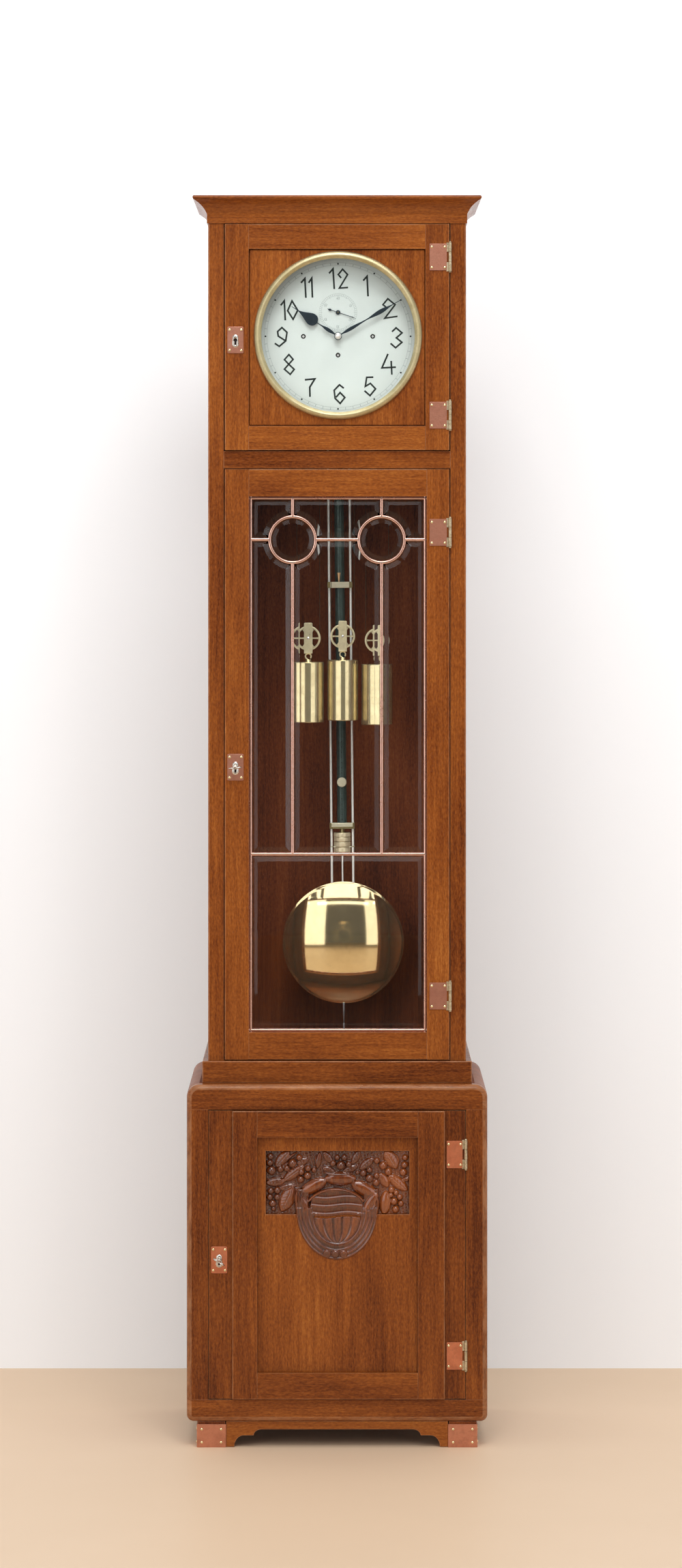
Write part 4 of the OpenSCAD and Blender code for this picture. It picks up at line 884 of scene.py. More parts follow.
def key_piece(name, body, node_, x, z, fd, bd, ang):
    mb = MB()
    st = 0
    # shaft, turned collar, bit with its wards, and a bow of two loops with a bead between and at each end
    mb.lathe([(0, fd - 9.4), (1.6, fd - 9.4), (2.0, fd - 9.1), (2.0, fd - 8.8), (3.0, fd - 8.5), (3.2, fd - 7.9), (3.2, fd - 7.3), (2.9, fd - 6.7), (2.4, fd - 6.4), (2.4, fd - 5.6), (2.65, fd - 5.3), (2.65, fd - 4.6), (2.3, fd - 4.2), (2.3, bd + 9), (1.9, bd + 10), (0, bd + 10)], (x, 0, z), "y", 28)
    mb.board(x - 1.1, x + 1.1, bd + 3.6, bd + 9, z - 8.4, z - 1.5, bev=0.25, seg=1)
    ko = fd - 26 + 7.6
    def torus(cz0, R, r, seg=36, ring=12):
        bm = bmesh.new()
        vs = []
        for i in range(seg):
            a = 2 * math.pi * i / seg
            row = []
            for j in range(ring):
                b = 2 * math.pi * j / ring
                rr = R + r * math.cos(b)
                row.append(bm.verts.new(P(x + r * math.sin(b) * 0.92, ko + rr * math.sin(a) * 1.08, cz0 + rr * math.cos(a))))
            vs.append(row)
        for i in range(seg):
            for j in range(ring):
                bm.faces.new((vs[i][j], vs[(i + 1) % seg][j], vs[(i + 1) % seg][(j + 1) % ring], vs[i][(j + 1) % ring]))
        bmesh.ops.recalc_face_normals(bm, faces=bm.faces)
        mb.add_bm(bm)
    for s in (-1, 1):
        torus(z + s * 5.2, 4.25, 1.35)
    mb.lathe([(0, fd - 21.5), (1.2, fd - 21.4), (1.6, fd - 20.4), (1.5, fd - 19), (1.3, fd - 16.5), (1.5, fd - 14), (2.0, fd - 12), (1.7, fd - 10.6), (1.7, fd - 9.3), (0, fd - 9.3)], (x, 0, z), "y", 20)
    rotate_from(mb, st, x, z, math.radians(ang))
    return mb.build(name, [M_NICKEL], body, [node_], "nickel", sharp=50)

key_piece("trunk_key_forged", "trunk_key", "trunk_door_key", -163, 1084.5, 28.5, 54, -97)
key_piece("base_key_forged", "base_key", "base_door_key", -188.2, 300, -1.5, 22, -57)

def bolt_piece(name, body, node_, x, z, bd):
    mb = MB()
    mb.board(x - 13.5, x + 13, bd + 3, bd + 9, z + 10, z + 20, bev=0.5, seg=2)
    mb.build(name, [M_BRASS_OLD], body, [node_], "brass")
bolt_piece("dial_bolt_bar", "dial_bolt", "dial_door_bolt", -163, 1769.3, 54)
bolt_piece("trunk_bolt_bar", "trunk_bolt", "trunk_door_bolt", -163, 1084.5, 54)
bolt_piece("base_bolt_bar", "base_bolt", "base_door_bolt", -188.2, 300, 22)

# ------------------------------------------------------------------ bezel, glass, dial
def smooth_profile(pts, n=6, closed=True):
    """Catmull-Rom through the points."""
    out = []
    m = len(pts)
    for i in range(m if closed else m - 1):
        p0, p1, p2, p3 = (Vector(pts[(i + k - 1) % m] if closed else pts[min(max(i + k - 1, 0), m - 1)]) for k in range(4))
        for k in range(n):
            t = k / n
            out.append(0.5 * ((2 * p1) + (-p0 + p2) * t + (2 * p0 - 5 * p1 + 4 * p2 - p3) * t * t + (-p0 + 3 * p1 - 3 * p2 + p3) * t ** 3))
    return [(v[0], v[1]) for v in out]

bez = MB()
front = smooth_profile([(135, 33.45), (135, 31), (133.9, 28.2), (131.6, 25.8), (129.2, 24.75), (127.4, 24.9), (126.2, 25.9), (125.0, 27.0), (124.0, 28.2), (123.3, 29.3), (123.0, 30.9)], 5, closed=False)
prof = front + [(123.0, 30.98), (125.8, 30.98), (125.8, 44), (127.9, 44), (127.9, 33.48), (135, 33.48)]
bez.lathe(prof + [prof[0]], (DIAL_X, 0, DIAL_Z), "y", 256)
bez.build("dial_bezel_turned", [M_BEZEL], "dial_door", ["dial_bezel"], "brass", sharp=40, weighted=False)

mk = MB()
def disc_pts(r, n):
    return [(r * math.cos(2 * math.pi * i / n), r * math.sin(2 * math.pi * i / n)) for i in range(n)]

def flat_ring(mb, cx_, cz_, r0, r1, d, mi=0, n=256, t=0.07):
    a = [(cx_ + p[0], cz_ + p[1]) for p in disc_pts(r0, n)]
    b = [(cx_ + p[0], cz_ + p[1]) for p in disc_pts(r1, n)]
    ring_band(mb, [(a, d - t), (b, d - t), (b, d + 0.05), (a, d + 0.05)], mi=mi)

def flat_poly(mb, pts, d, mi=0, t=0.07):
    mb.prism(pts, "y", d - t, d + 0.05, mi=mi)

def stroke(mb, pts, w, d, mi=0, closed=False, w_end=None):
    """A flat ribbon of width w mm along the points, with mitred corners and square ends."""
    pts = [Vector(p) for p in pts]
    n = len(pts)
    left, right = [], []
    for i in range(n):
        if closed:
            p0, p1, p2 = pts[i - 1], pts[i], pts[(i + 1) % n]
        else:
            p0, p1, p2 = pts[max(i - 1, 0)], pts[i], pts[min(i + 1, n - 1)]
        ww = w if w_end is None else w + (w_end - w) * i / (n - 1)
        d1 = (p1 - p0).normalized() if (p1 - p0).length > 1e-9 else (p2 - p1).normalized()
        d2 = (p2 - p1).normalized() if (p2 - p1).length > 1e-9 else d1
        n1, n2 = Vector((-d1.y, d1.x)), Vector((-d2.y, d2.x))
        m = (n1 + n2)
        if m.length < 1e-6:
            m = n1.copy()
        m.normalize()
        k = ww / 2 / max(m.dot(n1), 0.30)
        left.append(p1 + m * k); right.append(p1 - m * k)
    if closed:
        a = [(p.x, p.y) for p in left]; b = [(p.x, p.y) for p in right]
        ring_band(mb, [(a, d - 0.07), (b, d - 0.07), (b, d + 0.05), (a, d + 0.05)], mi=mi)
    else:
        bm = bmesh.new()
        rows = []
        for l, r in zip(left, right):
            rows.append([bm.verts.new(P(l.x, d - 0.07, l.y)), bm.verts.new(P(r.x, d - 0.07, r.y)), bm.verts.new(P(r.x, d + 0.05, r.y)), bm.verts.new(P(l.x, d + 0.05, l.y))])
        for a, b in zip(rows, rows[1:]):
            for k in range(4):
                bm.faces.new((a[k], a[(k + 1) % 4], b[(k + 1) % 4], b[k]))
        bm.faces.new(rows[0]); bm.faces.new(list(reversed(rows[-1])))
        bmesh.ops.recalc_face_normals(bm, faces=bm.faces)
        mb.add_bm(bm, mi=mi)

DD = DIAL_D
flat_ring(mk, DIAL_X, DIAL_Z, 114.45, 114.8, DD, mi=1)
flat_ring(mk, DIAL_X, DIAL_Z, 118.85, 119.2, DD, mi=1)
for k in range(60):
    a = math.radians(6 * k)
    c, s = math.sin(a), math.cos(a)
    if k % 5:
        stroke(mk, [(DIAL_X + c * 114.7, DIAL_Z + s * 114.7), (DIAL_X + c * 118.9, DIAL_Z + s * 118.9)], 0.62, DD, mi=1)
    else:
        flat_poly(mk, [(DIAL_X + c * 116.9 + p[0], DIAL_Z + s * 116.9 + p[1]) for p in disc_pts(1.45, 20)], DD, mi=0)

# figures as strokes: millimetres from the dial's centre, x right and z up
FIG = [
    (2.9, [(-14.5, 101.5), (-8.1, 108.7), (-6.0, 76.2)]),                                                              # 1 of 12
    (2.7, [(5.2, 94.1), (0.4, 99.5), (7.4, 108.2), (15.4, 99.5), (2.2, 77.7), (16.3, 78.7)]),                           # 2 of 12
    (2.9, [(40.6, 89.8), (46.8, 96.7), (48.4, 64.4)]),                                                                  # 1
    (2.7, [(77.4, 47.0), (72.4, 51.0), (80.3, 60.6), (92.0, 51.0), (75.5, 29.2), (96.0, 32.3)]),                        # 2
    (2.8, [(87.0, 7.4), (93.6, 13.7), (103.2, 5.6), (94.0, -2.4), (103.0, -9.6), (92.8, -18.4), (84.6, -11.2)]),        # 3
    (2.9, [(80.6, -28.2), (70.8, -50.8), (93.4, -49.6)]),                                                               # 4
    (2.8, [(85.7, -39.4), (86.8, -61.8)]),
    (2.8, [(57.0, -65.8), (46.2, -66.1), (44.0, -80.6), (52.2, -75.8), (60.5, -84.6), (51.6, -95.5), (42.6, -87.6)]),   # 5
    (2.8, [(9.4, -83.6), (2.3, -78.1), (-6.2, -86.9), (-4.7, -99.9), (3.5, -108.1), (11.0, -98.5), (3.4, -90.6), (-3.4, -98.3)]),  # 6
    (2.9, [(-53.5, -70.1), (-37.3, -68.5), (-45.6, -82.0), (-45.2, -97.5)]),                                            # 7
]
RING_FIG = [
    (2.7, [(-79.1, -29.4), (-72.4, -37.0), (-79.4, -45.0), (-86.4, -37.5)]),                                            # 8
    (2.7, [(-79.4, -45.0), (-70.6, -53.2), (-77.0, -61.2), (-86.4, -52.9)]),
    (2.8, [(-74.2, 57.0), (-64.9, 42.0), (-72.4, 27.5), (-81.2, 41.2)]),                                                # 0 of 10
]
FIG += [
    (2.8, [(-84.3, -7.4), (-96.4, 0.4), (-97.4, 7.7), (-90.4, 14.1), (-82.2, 6.4), (-84.3, -7.4), (-94.7, -16.1), (-102.0, -11.2)]),  # 9
    (2.9, [(-92.5, 49.8), (-86.6, 57.2), (-85.0, 25.7)]),                                                               # 1 of 10
    (2.9, [(-59.7, 86.2), (-53.4, 93.2), (-51.8, 62.0)]),                                                               # 11
    (2.9, [(-47.4, 86.2), (-42.4, 93.6), (-41.2, 62.5)]),
]
for w, pts in FIG:
    stroke(mk, [(DIAL_X + p[0], DIAL_Z + p[1]) for p in pts], w, DD, mi=0)
for w, pts in RING_FIG:
    stroke(mk, [(DIAL_X + p[0], DIAL_Z + p[1]) for p in pts], w, DD, mi=0, closed=True)

# seconds dial
SX, SZ = DIAL_X, DIAL_Z + 38.5
flat_ring(mk, SX, SZ, 26.8, 27.0, DD, mi=2, n=160)
flat_ring(mk, SX, SZ, 30.3, 30.5, DD, mi=2, n=160)
for k in range(60):
    a = math.radians(6 * k)
    c, s = math.sin(a), math.cos(a)
    r0 = 25.4 if k % 5 == 0 else 26.9
    stroke(mk, [(SX + c * r0, SZ + s * r0), (SX + c * 30.4, SZ + s * 30.4)], 0.42 if k % 5 == 0 else 0.34, DD, mi=2)
DIG = {"0": [[(0, 0), (0, 1), (0.6, 1), (0.6, 0), (0, 0)]], "1": [[(0.1, 0.75), (0.35, 1), (0.35, 0)]], "2": [[(0, 0.8), (0.2, 1), (0.5, 1), (0.6, 0.75), (0, 0), (0.62, 0)]],
       "3": [[(0, 1), (0.6, 1), (0.25, 0.58), (0.6, 0.4), (0.55, 0.08), (0.3, 0), (0, 0.1)]], "4": [[(0.45, 0), (0.45, 1), (0, 0.3), (0.65, 0.3)]],
       "5": [[(0.55, 1), (0.05, 1), (0.02, 0.58), (0.4, 0.6), (0.6, 0.35), (0.45, 0.03), (0, 0.03)]], "6": [[(0.5, 1), (0.1, 0.65), (0.0, 0.25), (0.25, 0), (0.58, 0.2), (0.45, 0.52), (0.05, 0.4)]]}
for k, txt in enumerate(("60", "10", "20", "30", "40", "50")):
    a = math.radians(60 * k)
    for j, ch in enumerate(txt):
        for line_ in DIG[ch]:
            pts = []
            for u, v in line_:
                lx, lz = (j - 1) * 2.5 + 0.4 + u * 2.9, (v - 0.5) * 3.4 + 22.9
                pts.append((SX + lx * math.cos(a) + lz * math.sin(a), SZ - lx * math.sin(a) + lz * math.cos(a)))
            stroke(mk, pts, 0.40, DD, mi=2)

# rings round the winding holes, dark with a bright square inside: the dark ring is painted shade in the hole round each
# arbor
for wx_, wz_ in WIND:
    cxx, czz = DIAL_X + wx_, DIAL_Z + wz_
    mk.lathe([(1.9, DD + 0.85), (1.9, DD + 0.15), (2.2, DD - 0.12), (2.8, DD - 0.26), (3.4, DD - 0.28), (3.75, DD - 0.1), (3.8, DD + 0.85), (1.9, DD + 0.85)], (cxx, 0, czz), "y", 40, mi=3)
mk.build("dial_figures", [M_INK, M_INK2, M_INK3, M_HOLE_SHADE], "case", (), None, sharp=30, weighted=False)

# ------------------------------------------------------------------ hands
MIN_A, HOUR_A, SEC_A = 60.1, 302.6, 108.4
MINUTE_O = [(6, 0.8), (10, 1.3), (16, 2.2), (22, 2.7), (28, 2.6), (36, 2), (44, 1.3), (52, 0.95), (58, 1.2), (66, 2.3), (73, 3.2), (79, 3.5), (85, 3.1), (92, 1.9), (98, 1), (103, 0.6), (117.4, 0.4)]
HOUR_O = [(6, 0.9), (11, 2), (17, 2.9), (22, 2.7), (28, 1.5), (33, 0.9), (39.4, 0.8), (40, 2.4), (41.2, 5), (43, 7.2), (45.5, 8.9), (48.5, 9.7), (51.5, 9.7), (55, 8.8), (60, 6.6), (65, 4.3), (70, 2.4), (74, 1.2), (77, 0.7), (88.6, 0.4)]
SECOND_O = [(-18, 0.3), (-15.8, 0.9), (-13.6, 2), (-11.4, 0.9), (-9, 0.5), (-3, 0.5), (3, 0.55), (22, 0.5), (24, 1), (26, 0.5), (30, 0.3)]

def smooth_outline(o, n=4):
    out = []
    for i in range(len(o) - 1):
        p0, p1, p2, p3 = (Vector(o[min(max(i + k, 0), len(o) - 1)]) for k in (-1, 0, 1, 2))
        for k in range(n):
            t = k / n
            q = 0.5 * ((2 * p1) + (-p0 + p2) * t + (2 * p0 - 5 * p1 + 4 * p2 - p3) * t * t + (-p0 + 3 * p1 - 3 * p2 + p3) * t ** 3)
            out.append((min(max(q[0], p1[0]), p2[0]) if p2[0] > p1[0] else q[0], max(q[1], 0.25)))
    return out + [tuple(o[-1])]

def hand_blade(mb, o, ang, z, d0, d1, roof=0.0, mi=0):
    """A blade with eased edges: the middle of its face stands a little proud of the rims."""
    o = smooth_outline(o)
    bm = bmesh.new()
    st = len(mb.v)
    rows = []
    for r, w in o:
        e = min(0.18, w * 0.4)
        rows.append([bm.verts.new(P(DIAL_X + u * w + v, d, z + r)) for u, v, d in
                     ((-1, 0, d1), (-1, 0, d0 + e), (-1, e, d0 + e * 0.25), (-0.45, 0, d0 - roof * 0.0), (0, 0, d0), (0.45, 0, d0), (1, -e, d0 + e * 0.25), (1, 0, d0 + e), (1, 0, d1))])
    for a, b in zip(rows, rows[1:]):
        m = len(a)
        for k in range(m):
            bm.faces.new((a[k], a[(k + 1) % m], b[(k + 1) % m], b[k]))
    bm.faces.new(rows[0]); bm.faces.new(list(reversed(rows[-1])))
    bmesh.ops.recalc_face_normals(bm, faces=bm.faces)
    mb.add_bm(bm, mi=mi)
    rotate_from(mb, st, DIAL_X, z, math.radians(ang))

mh = MB()
hand_blade(mh, MINUTE_O, MIN_A, DIAL_Z, 53.2, 54.2)
mh.lathe([(1.6, 54.4), (1.6, 53.2), (5.9, 53.2), (6.25, 53.35), (6.4, 53.7), (6.4, 54.4), (1.6, 54.4)], (DIAL_X, 0, DIAL_Z), "y", 64, mi=0)
mh.lathe([(0, 53.14), (0, 152), (1.5, 152), (1.5, 53.14)][::-1] + [(0, 53.14)], (DIAL_X, 0, DIAL_Z), "y", 24, mi=2)
mh.lathe([(0, 48.6), (1.2, 48.7), (2.4, 49.05), (3.4, 49.6), (4.2, 50.25), (4.8, 51.0), (5.2, 51.85), (5.4, 52.6), (5.4, 53.14), (0, 53.14)], (DIAL_X, 0, DIAL_Z), "y", 64, mi=1)
mh.build("minute_hand_blued", [M_BLUED, M_BALL, M_STEEL], "minute_arbor", ["minute_hand"], "blued_steel", sharp=40)

hh = MB()
hand_blade(hh, HOUR_O, HOUR_A, DIAL_Z, 57, 58)
hh.lathe([(1.6, 58.2), (1.6, 57), (5.7, 57), (6.05, 57.15), (6.2, 57.5), (6.2, 58.2), (1.6, 58.2)], (DIAL_X, 0, DIAL_Z), "y", 64, mi=0)
hh.lathe([(1.6, 58.25), (3.6, 58.25), (3.6, 79.5), (3.3, 80), (1.6, 80), (1.6, 58.25)], (DIAL_X, 0, DIAL_Z), "y", 40, mi=1)
hh.build("hour_hand_blued", [M_BLUED, M_BRASS_OLD], "hour_pipe", ["hour_hand"], "blued_steel", sharp=40)

sh = MB()
hand_blade(sh, SECOND_O, SEC_A, DIAL_Z + 38.5, 61.4, 62)
sh.lathe([(1.06, 63), (1.06, 61), (1.7, 60.95), (2.1, 61.2), (3.3, 61.2), (3.6, 61.5), (3.6, 63), (1.06, 63)], (DIAL_X, 0, DIAL_Z + 38.5), "y", 48, mi=0)
sh.build("seconds_hand_blued", [M_BLUED], "seconds_arbor", ["seconds_hand"], "blued_steel", sharp=40)

# ------------------------------------------------------------------ trunk door: came and bevelled panes
TG = (-141.5, 144.0, 659.4, 1518.7)
CZC, CX, BARZ, CR, CW = 1449.2, 71.5, 944.4, 39.2, 4.8
came = MB()
def bar(x0, x1, z0, z1, vertical):
    """A came bar with a rounded crown, so it takes a bright line along its length."""
    n = 9
    w = CW / 2
    sec = [(-w, 44), (-w, 39.4)] + [(-w * math.cos(math.pi * k / n), 39.4 - 1.4 * math.sin(math.pi * k / n) ** 0.75) for k in range(1, n)] + [(w, 39.4), (w, 44)]
    if vertical:
        xm = (x0 + x1) / 2
        came.prism([(xm + p, q) for p, q in sec], "z", z0, z1, bevs=[])
    else:
        zm = (z0 + z1) / 2
        came.prism([(q, zm + p) for p, q in sec], "x", x0, x1, bevs=[])
h = CW / 2
bar(TG[0], TG[0] + CW, TG[2], TG[3], True)
bar(TG[1] - CW, TG[1], TG[2], TG[3], True)
bar(TG[0], TG[1], TG[3] - CW, TG[3], False)
bar(TG[0], TG[1], TG[2], TG[2] + CW, False)
bar(TG[0] + 1, TG[1] - 1, BARZ - h, BARZ + h, False)
for s in (-1, 1):
    bar(s * CX - h, s * CX + h, BARZ, CZC - CR + 2, True)
    bar(s * CX - h, s * CX + h, CZC + CR - 2, TG[3] - 1, True)
for x0, x1 in ((TG[0] + 1, -CX - CR + 2), (-CX + CR - 2, CX - CR + 2), (CX + CR - 2, TG[1] - 1)):
    bar(x0, x1, CZC - h, CZC + h, False)
n = 10
for s in (-1, 1):
    rm, w = CR - 2.35, 2.35
    prof = [(rm - w, 44), (rm - w, 39.3)] + [(rm - w * math.cos(math.pi * k / n), 39.3 - 1.3 * math.sin(math.pi * k / n) ** 0.75) for k in range(1, n)] + [(rm + w, 39.3), (rm + w, 44), (rm - w, 44)]
    came.lathe(prof, (s * CX, 0, CZC), "y", 128)
came.build("trunk_door_came_bars", [M_CAME], "trunk_door", ["trunk_door_came"], "copper", sharp=35)

BEV = 9.0
def offset_loop(lp, g):
    """Moves a counter-clockwise loop of points inwards by g, along the mitres."""
    out = []
    m = len(lp)
    for i in range(m):
        p0, p1, p2 = Vector(lp[i - 1]), Vector(lp[i]), Vector(lp[(i + 1) % m])
        a, b = (p1 - p0).normalized(), (p2 - p1).normalized()
        na, nb = Vector((-a.y, a.x)), Vector((-b.y, b.x))
        k = na + nb
        k.normalize()
        t = g / max(k.dot(na), 0.35)
        out.append((p1.x + k.x * t, p1.y + k.y * t))
    return out

def pane(mb, lp, bev=BEV):
    inner = offset_loop(lp, bev)
    ring_pts = [(lp, 42.9), (lp, 42.1), (inner, 39.05)]
    n = len(lp)
    bm = bmesh.new()
    rows = [[bm.verts.new(P(p[0], d, p[1])) for p in loop] for loop, d in ring_pts]
    for a, b in zip(rows, rows[1:]):
        for k in range(n):
            bm.faces.new((a[k], a[(k + 1) % n], b[(k + 1) % n], b[k]))
    bm.faces.new(rows[-1]); bm.faces.new(list(reversed(rows[0])))
    bmesh.ops.recalc_face_normals(bm, faces=bm.faces)
    bmesh.ops.triangulate(bm, faces=[f for f in bm.faces if len(f.verts) > 4])
    mb.add_bm(bm)

G = 0.12
def corner_arc(cx_, cz_, r, a0, a1, n=14):
    return [(cx_ + r * math.cos(math.radians(a0 + (a1 - a0) * i / n)), cz_ + r * math.sin(math.radians(a0 + (a1 - a0) * i / n))) for i in range(n + 1)]

panes = MB()
X0, X1, X2, X3 = TG[0] + CW + G, -CX - h - G, -CX + h + G, CX - h - G
Zb, Zt, Zr0, Zr1, Zc0, Zc1 = TG[2] + CW + G, TG[3] - CW - G, BARZ - h - G, BARZ + h + G, CZC - h - G, CZC + h + G
RR = CR + G
def chord(d):
    return math.degrees(math.asin(d / RR))
a_ = chord(h + G)
def mirrored(lp):
    """The same pane for the right side, whose outer edge lies a little farther out."""
    return [(TG[1] - CW - G if abs(p[0] - X0) < 0.01 else -p[0], p[1]) for p in reversed(lp)]
# lower pane
pane(panes, [(TG[0] + CW + G, Zb), (TG[1] - CW - G, Zb), (TG[1] - CW - G, Zr0), (TG[0] + CW + G, Zr0)])
# left tall pane, with the ring biting its upper right corner
left_tall = [(X0, Zr1), (X1, Zr1)] + corner_arc(-CX, CZC, RR, 270 - a_, 180 + a_, 16) + [(X0, Zc0)]
pane(panes, left_tall); pane(panes, mirrored(left_tall))
# middle tall pane, bitten at both upper corners
mid_tall = [(X2, Zr1), (X3, Zr1)] + corner_arc(CX, CZC, RR, 270 - a_, 180 + a_, 16) + corner_arc(-CX, CZC, RR, 360 - a_, 270 + a_, 16)
pane(panes, mid_tall)
# the small panes above
left_top = [(X0, Zc1)] + corner_arc(-CX, CZC, RR, 180 - a_, 90 + a_, 16) + [(X1, Zt), (X0, Zt)]
pane(panes, left_top); pane(panes, mirrored(left_top))
mid_top = corner_arc(-CX, CZC, RR, 90 - a_, a_, 16) + corner_arc(CX, CZC, RR, 180 - a_, 90 + a_, 16) + [(X3, Zt), (X2, Zt)]
pane(panes, mid_top)
# the round panes
for s in (-1, 1):
    r = CR - 4.7 - G
    pane(panes, [(s * CX + r * math.cos(2 * math.pi * k / 96), CZC + r * math.sin(2 * math.pi * k / 96)) for k in range(96)], bev=8.0)
panes.build("bevelled_panes", [M_PANE], "trunk_door", ["trunk_door_panes"], "glass", sharp=4, weighted=False)

# ------------------------------------------------------------------ pendulum
def swung(mb, start):
    """Turns what was added since start from hanging straight to the drawn swing."""
    rotate_from(mb, start, 0, 1841, -SWING)

rods = MB()
for s in (-1, 1):
    rods.lathe([(0, 886), (1.6, 886), (2.0, 886.4), (2.0, 1806.6), (1.6, 1807), (0, 1807)], (s * 17.6, 200, 0), "z", 24)
rods.lathe([(0, 888.2), (1.35, 888.2), (1.35, 938.55), (0, 938.55)], (0, 200, 0), "z", 20)
swung(rods, 0)
rods.build("pendulum_rods_bright", [M_ROD], "pendulum", ["pendulum_rods"], "steel", sharp=40)

tube = MB()
def punched_tube():
    """The tube with small dimples down its front, each with a dark disc inside: painted shade in the hole."""
    r = 7.95
    tube.lathe([(0, 985.05), (7.0, 985.05), (r, 985.4), (r, 1806.6), (7.0, 1807), (0, 1807)], (0, 200, 0), "z", 64, mi=0)
    z = 990.5
    k = 0
    while z < 1125:
        tube.lathe([(0.95, 192.3), (1.1, 191.96), (0.86, 191.9), (0.78, 192.02), (0.78, 192.3)], (0.0, 0, z), "y", 18, mi=0)
        # a dark disc inside each dimple: painted shade
        tube.lathe([(0, 191.985), (0.8, 191.99), (0.8, 192.4), (0, 192.4)], (0.0, 0, z), "y", 18, mi=1)
        z += 8.5
        k += 1
punched_tube()
swung(tube, 0)
tube.build("pendulum_tube_green", [M_TUBE, M_HOLE_SHADE], "pendulum", ["pendulum_tube"], "tube_green", sharp=40)

fit = MB()
D = 200
fit.board(-22, 22, D - 6, D + 6, 1807, 1819, bev=0.8, seg=2)
fit.board(-7, 7, D - 0.2, D + 0.2, 1819, 1840.5, bev=0)
def crossbar(z0, z1, dfront, face):
    """A bar whose front is a raised, brighter panel between lower ends; the pale panel is a painted highlight and the
    dark olive body painted shade on one brass.
    """
    fit.board(-20.5, 20.5, dfront + 1.4, D + 5, z0, z1, bev=0.6, seg=2, mi=1)
    fit.board(face[0], face[1], dfront, dfront + 2.2, z0 + 0.05, z1 - 0.05, bev=0.7, seg=3, mi=2)
crossbar(1371, 1381, D - 15, (-15.6, 15.6))
# the collar: dark olive body and strip, pale front panel: painted shade and painted highlight
fit.board(-20.5, 20.5, D - 6.4, D + 5, 975, 985, bev=0.6, seg=2, mi=1)
fit.board(-17.6, 17.6, D - 8, D - 5.6, 978.2, 984.95, bev=0.7, seg=3, mi=2)
fit.board(-15.0, 15.0, D - 7.4, D - 5.8, 975.1, 977.9, bev=0.4, seg=2, mi=1)
# small cone, wide end up
cone = [(0, 1381), (1.0, 1381), (1.0, 1381.4)] + [(1.0 + 1.85 * (k / 10), 1381.4 + 13.4 * k / 10) for k in range(1, 10)] + [(2.95, 1395.2), (2.85, 1395.9), (2.5, 1396), (0, 1396)]
fit.lathe(cone, (-1.4, D - 11.6, 0), "z", 28, mi=3)
# round knob on the tube
fit.lathe([(0, D - 13), (6.9, D - 12.95), (7.4, D - 12.8), (7.8, D - 12.4), (8.0, D - 11.8), (8.0, D - 9.9), (7.7, D - 9.4), (5.0, D - 8.3), (4.6, D - 7.6), (0, D - 7.6)], (0, 0, 1052), "y", 64, mi=2)
fit.lathe([(0, 969), (4, 969), (4, 975), (0, 975)], (0, D, 0), "z", 32, mi=1)
for z in (961.6, 954.0, 946.2):
    fit.lathe([(0, z), (12.9, z), (13.3, z + 0.25), (13.5, z + 0.8), (13.5, z + 6.4), (13.3, z + 6.95), (12.9, z + 7.2), (0, z + 7.2)], (0, D, 0), "z", 96, mi=0)
    for k in range(72):       # milled edge
        a = 2 * math.pi * k / 72
        if math.sin(a) > 0.35:
            continue
        c, s = math.cos(a), math.sin(a)
        fit.add([P(c * 13.42 - s * u, D + s * 13.42 + c * u, zz) if v == 0 else P(c * 13.62, D + s * 13.62, zz) for zz in (z + 1.0, z + 6.2) for u, v in ((-0.42, 0), (0, 1), (0.42, 0))],
                [(0, 1, 4, 3), (1, 2, 5, 4), (2, 0, 3, 5), (2, 1, 0), (3, 4, 5)], mi=0)
for z in (968.8, 961.2, 953.4):
    fit.lathe([(0, z), (11, z), (11, z + 0.4), (0, z + 0.4)], (0, D, 0), "z", 48, mi=1)
# the lower bar in the same two tones: painted shade and painted highlight
fit.board(-20.5, 20.5, D - 5.6, D + 5, 938.6, 946.2, bev=0.5, seg=2, mi=1)
fit.board(-14.8, 15.4, D - 7, D - 5, 938.65, 946.15, bev=0.6, seg=3, mi=2)
pz = 788
fit.lathe([(0, pz - 142), (0.9, pz - 141.7), (1.5, pz - 141), (1.8, pz - 139.6), (1.8, pz - 138), (1.5, pz - 136.6), (1.05, pz - 135), (0.95, pz - 131), (1.25, pz - 127), (1.75, pz - 119), (2.1, pz - 111), (2.25, pz - 99), (0, pz - 98.9)], (0, D, 0), "z", 32, mi=4)
swung(fit, 0)
fit.build("pendulum_brass_fittings", [M_FIT, M_OLIVE, M_PAD, M_CONE, M_GREY], "pendulum", ["pendulum_fittings"], "brass", sharp=40)

bob = MB()
def dome_prof(r, hh_, sgn, n=40, rim=1.2):
    R = (r * r + hh_ * hh_) / (2 * hh_)
    amax = math.asin(r / R)
    return [(R * math.sin(amax * i / n), sgn * (R * math.cos(amax * i / n) - (R - hh_))) for i in range(n + 1)]
front = dome_prof(99.2, 20.5, -1)
back = dome_prof(99.2, 17.6, 1)
rim = [(99.75, -0.55), (100.0, -0.1), (100.0, 0.9), (99.75, 1.3)]
prof = [(r, D + t) for r, t in front[:-1]] + [(99.3, D - 0.75)] + [(r, D + t) for r, t in rim] + [(99.3, D + 1.5)] + [(r, D + 0.75 + t * 1.0) for r, t in reversed(back[:-1])]
prof[0] = (0, prof[0][1]); prof[-1] = (0, prof[-1][1])
bob.lathe(prof, (0, 0, 788), "y", 192)
swung(bob, 0)
bob.build("pendulum_bob_spun", [M_BRASS_BOB], "pendulum", ["pendulum_bob"], "brass", sharp=60, weighted=False)

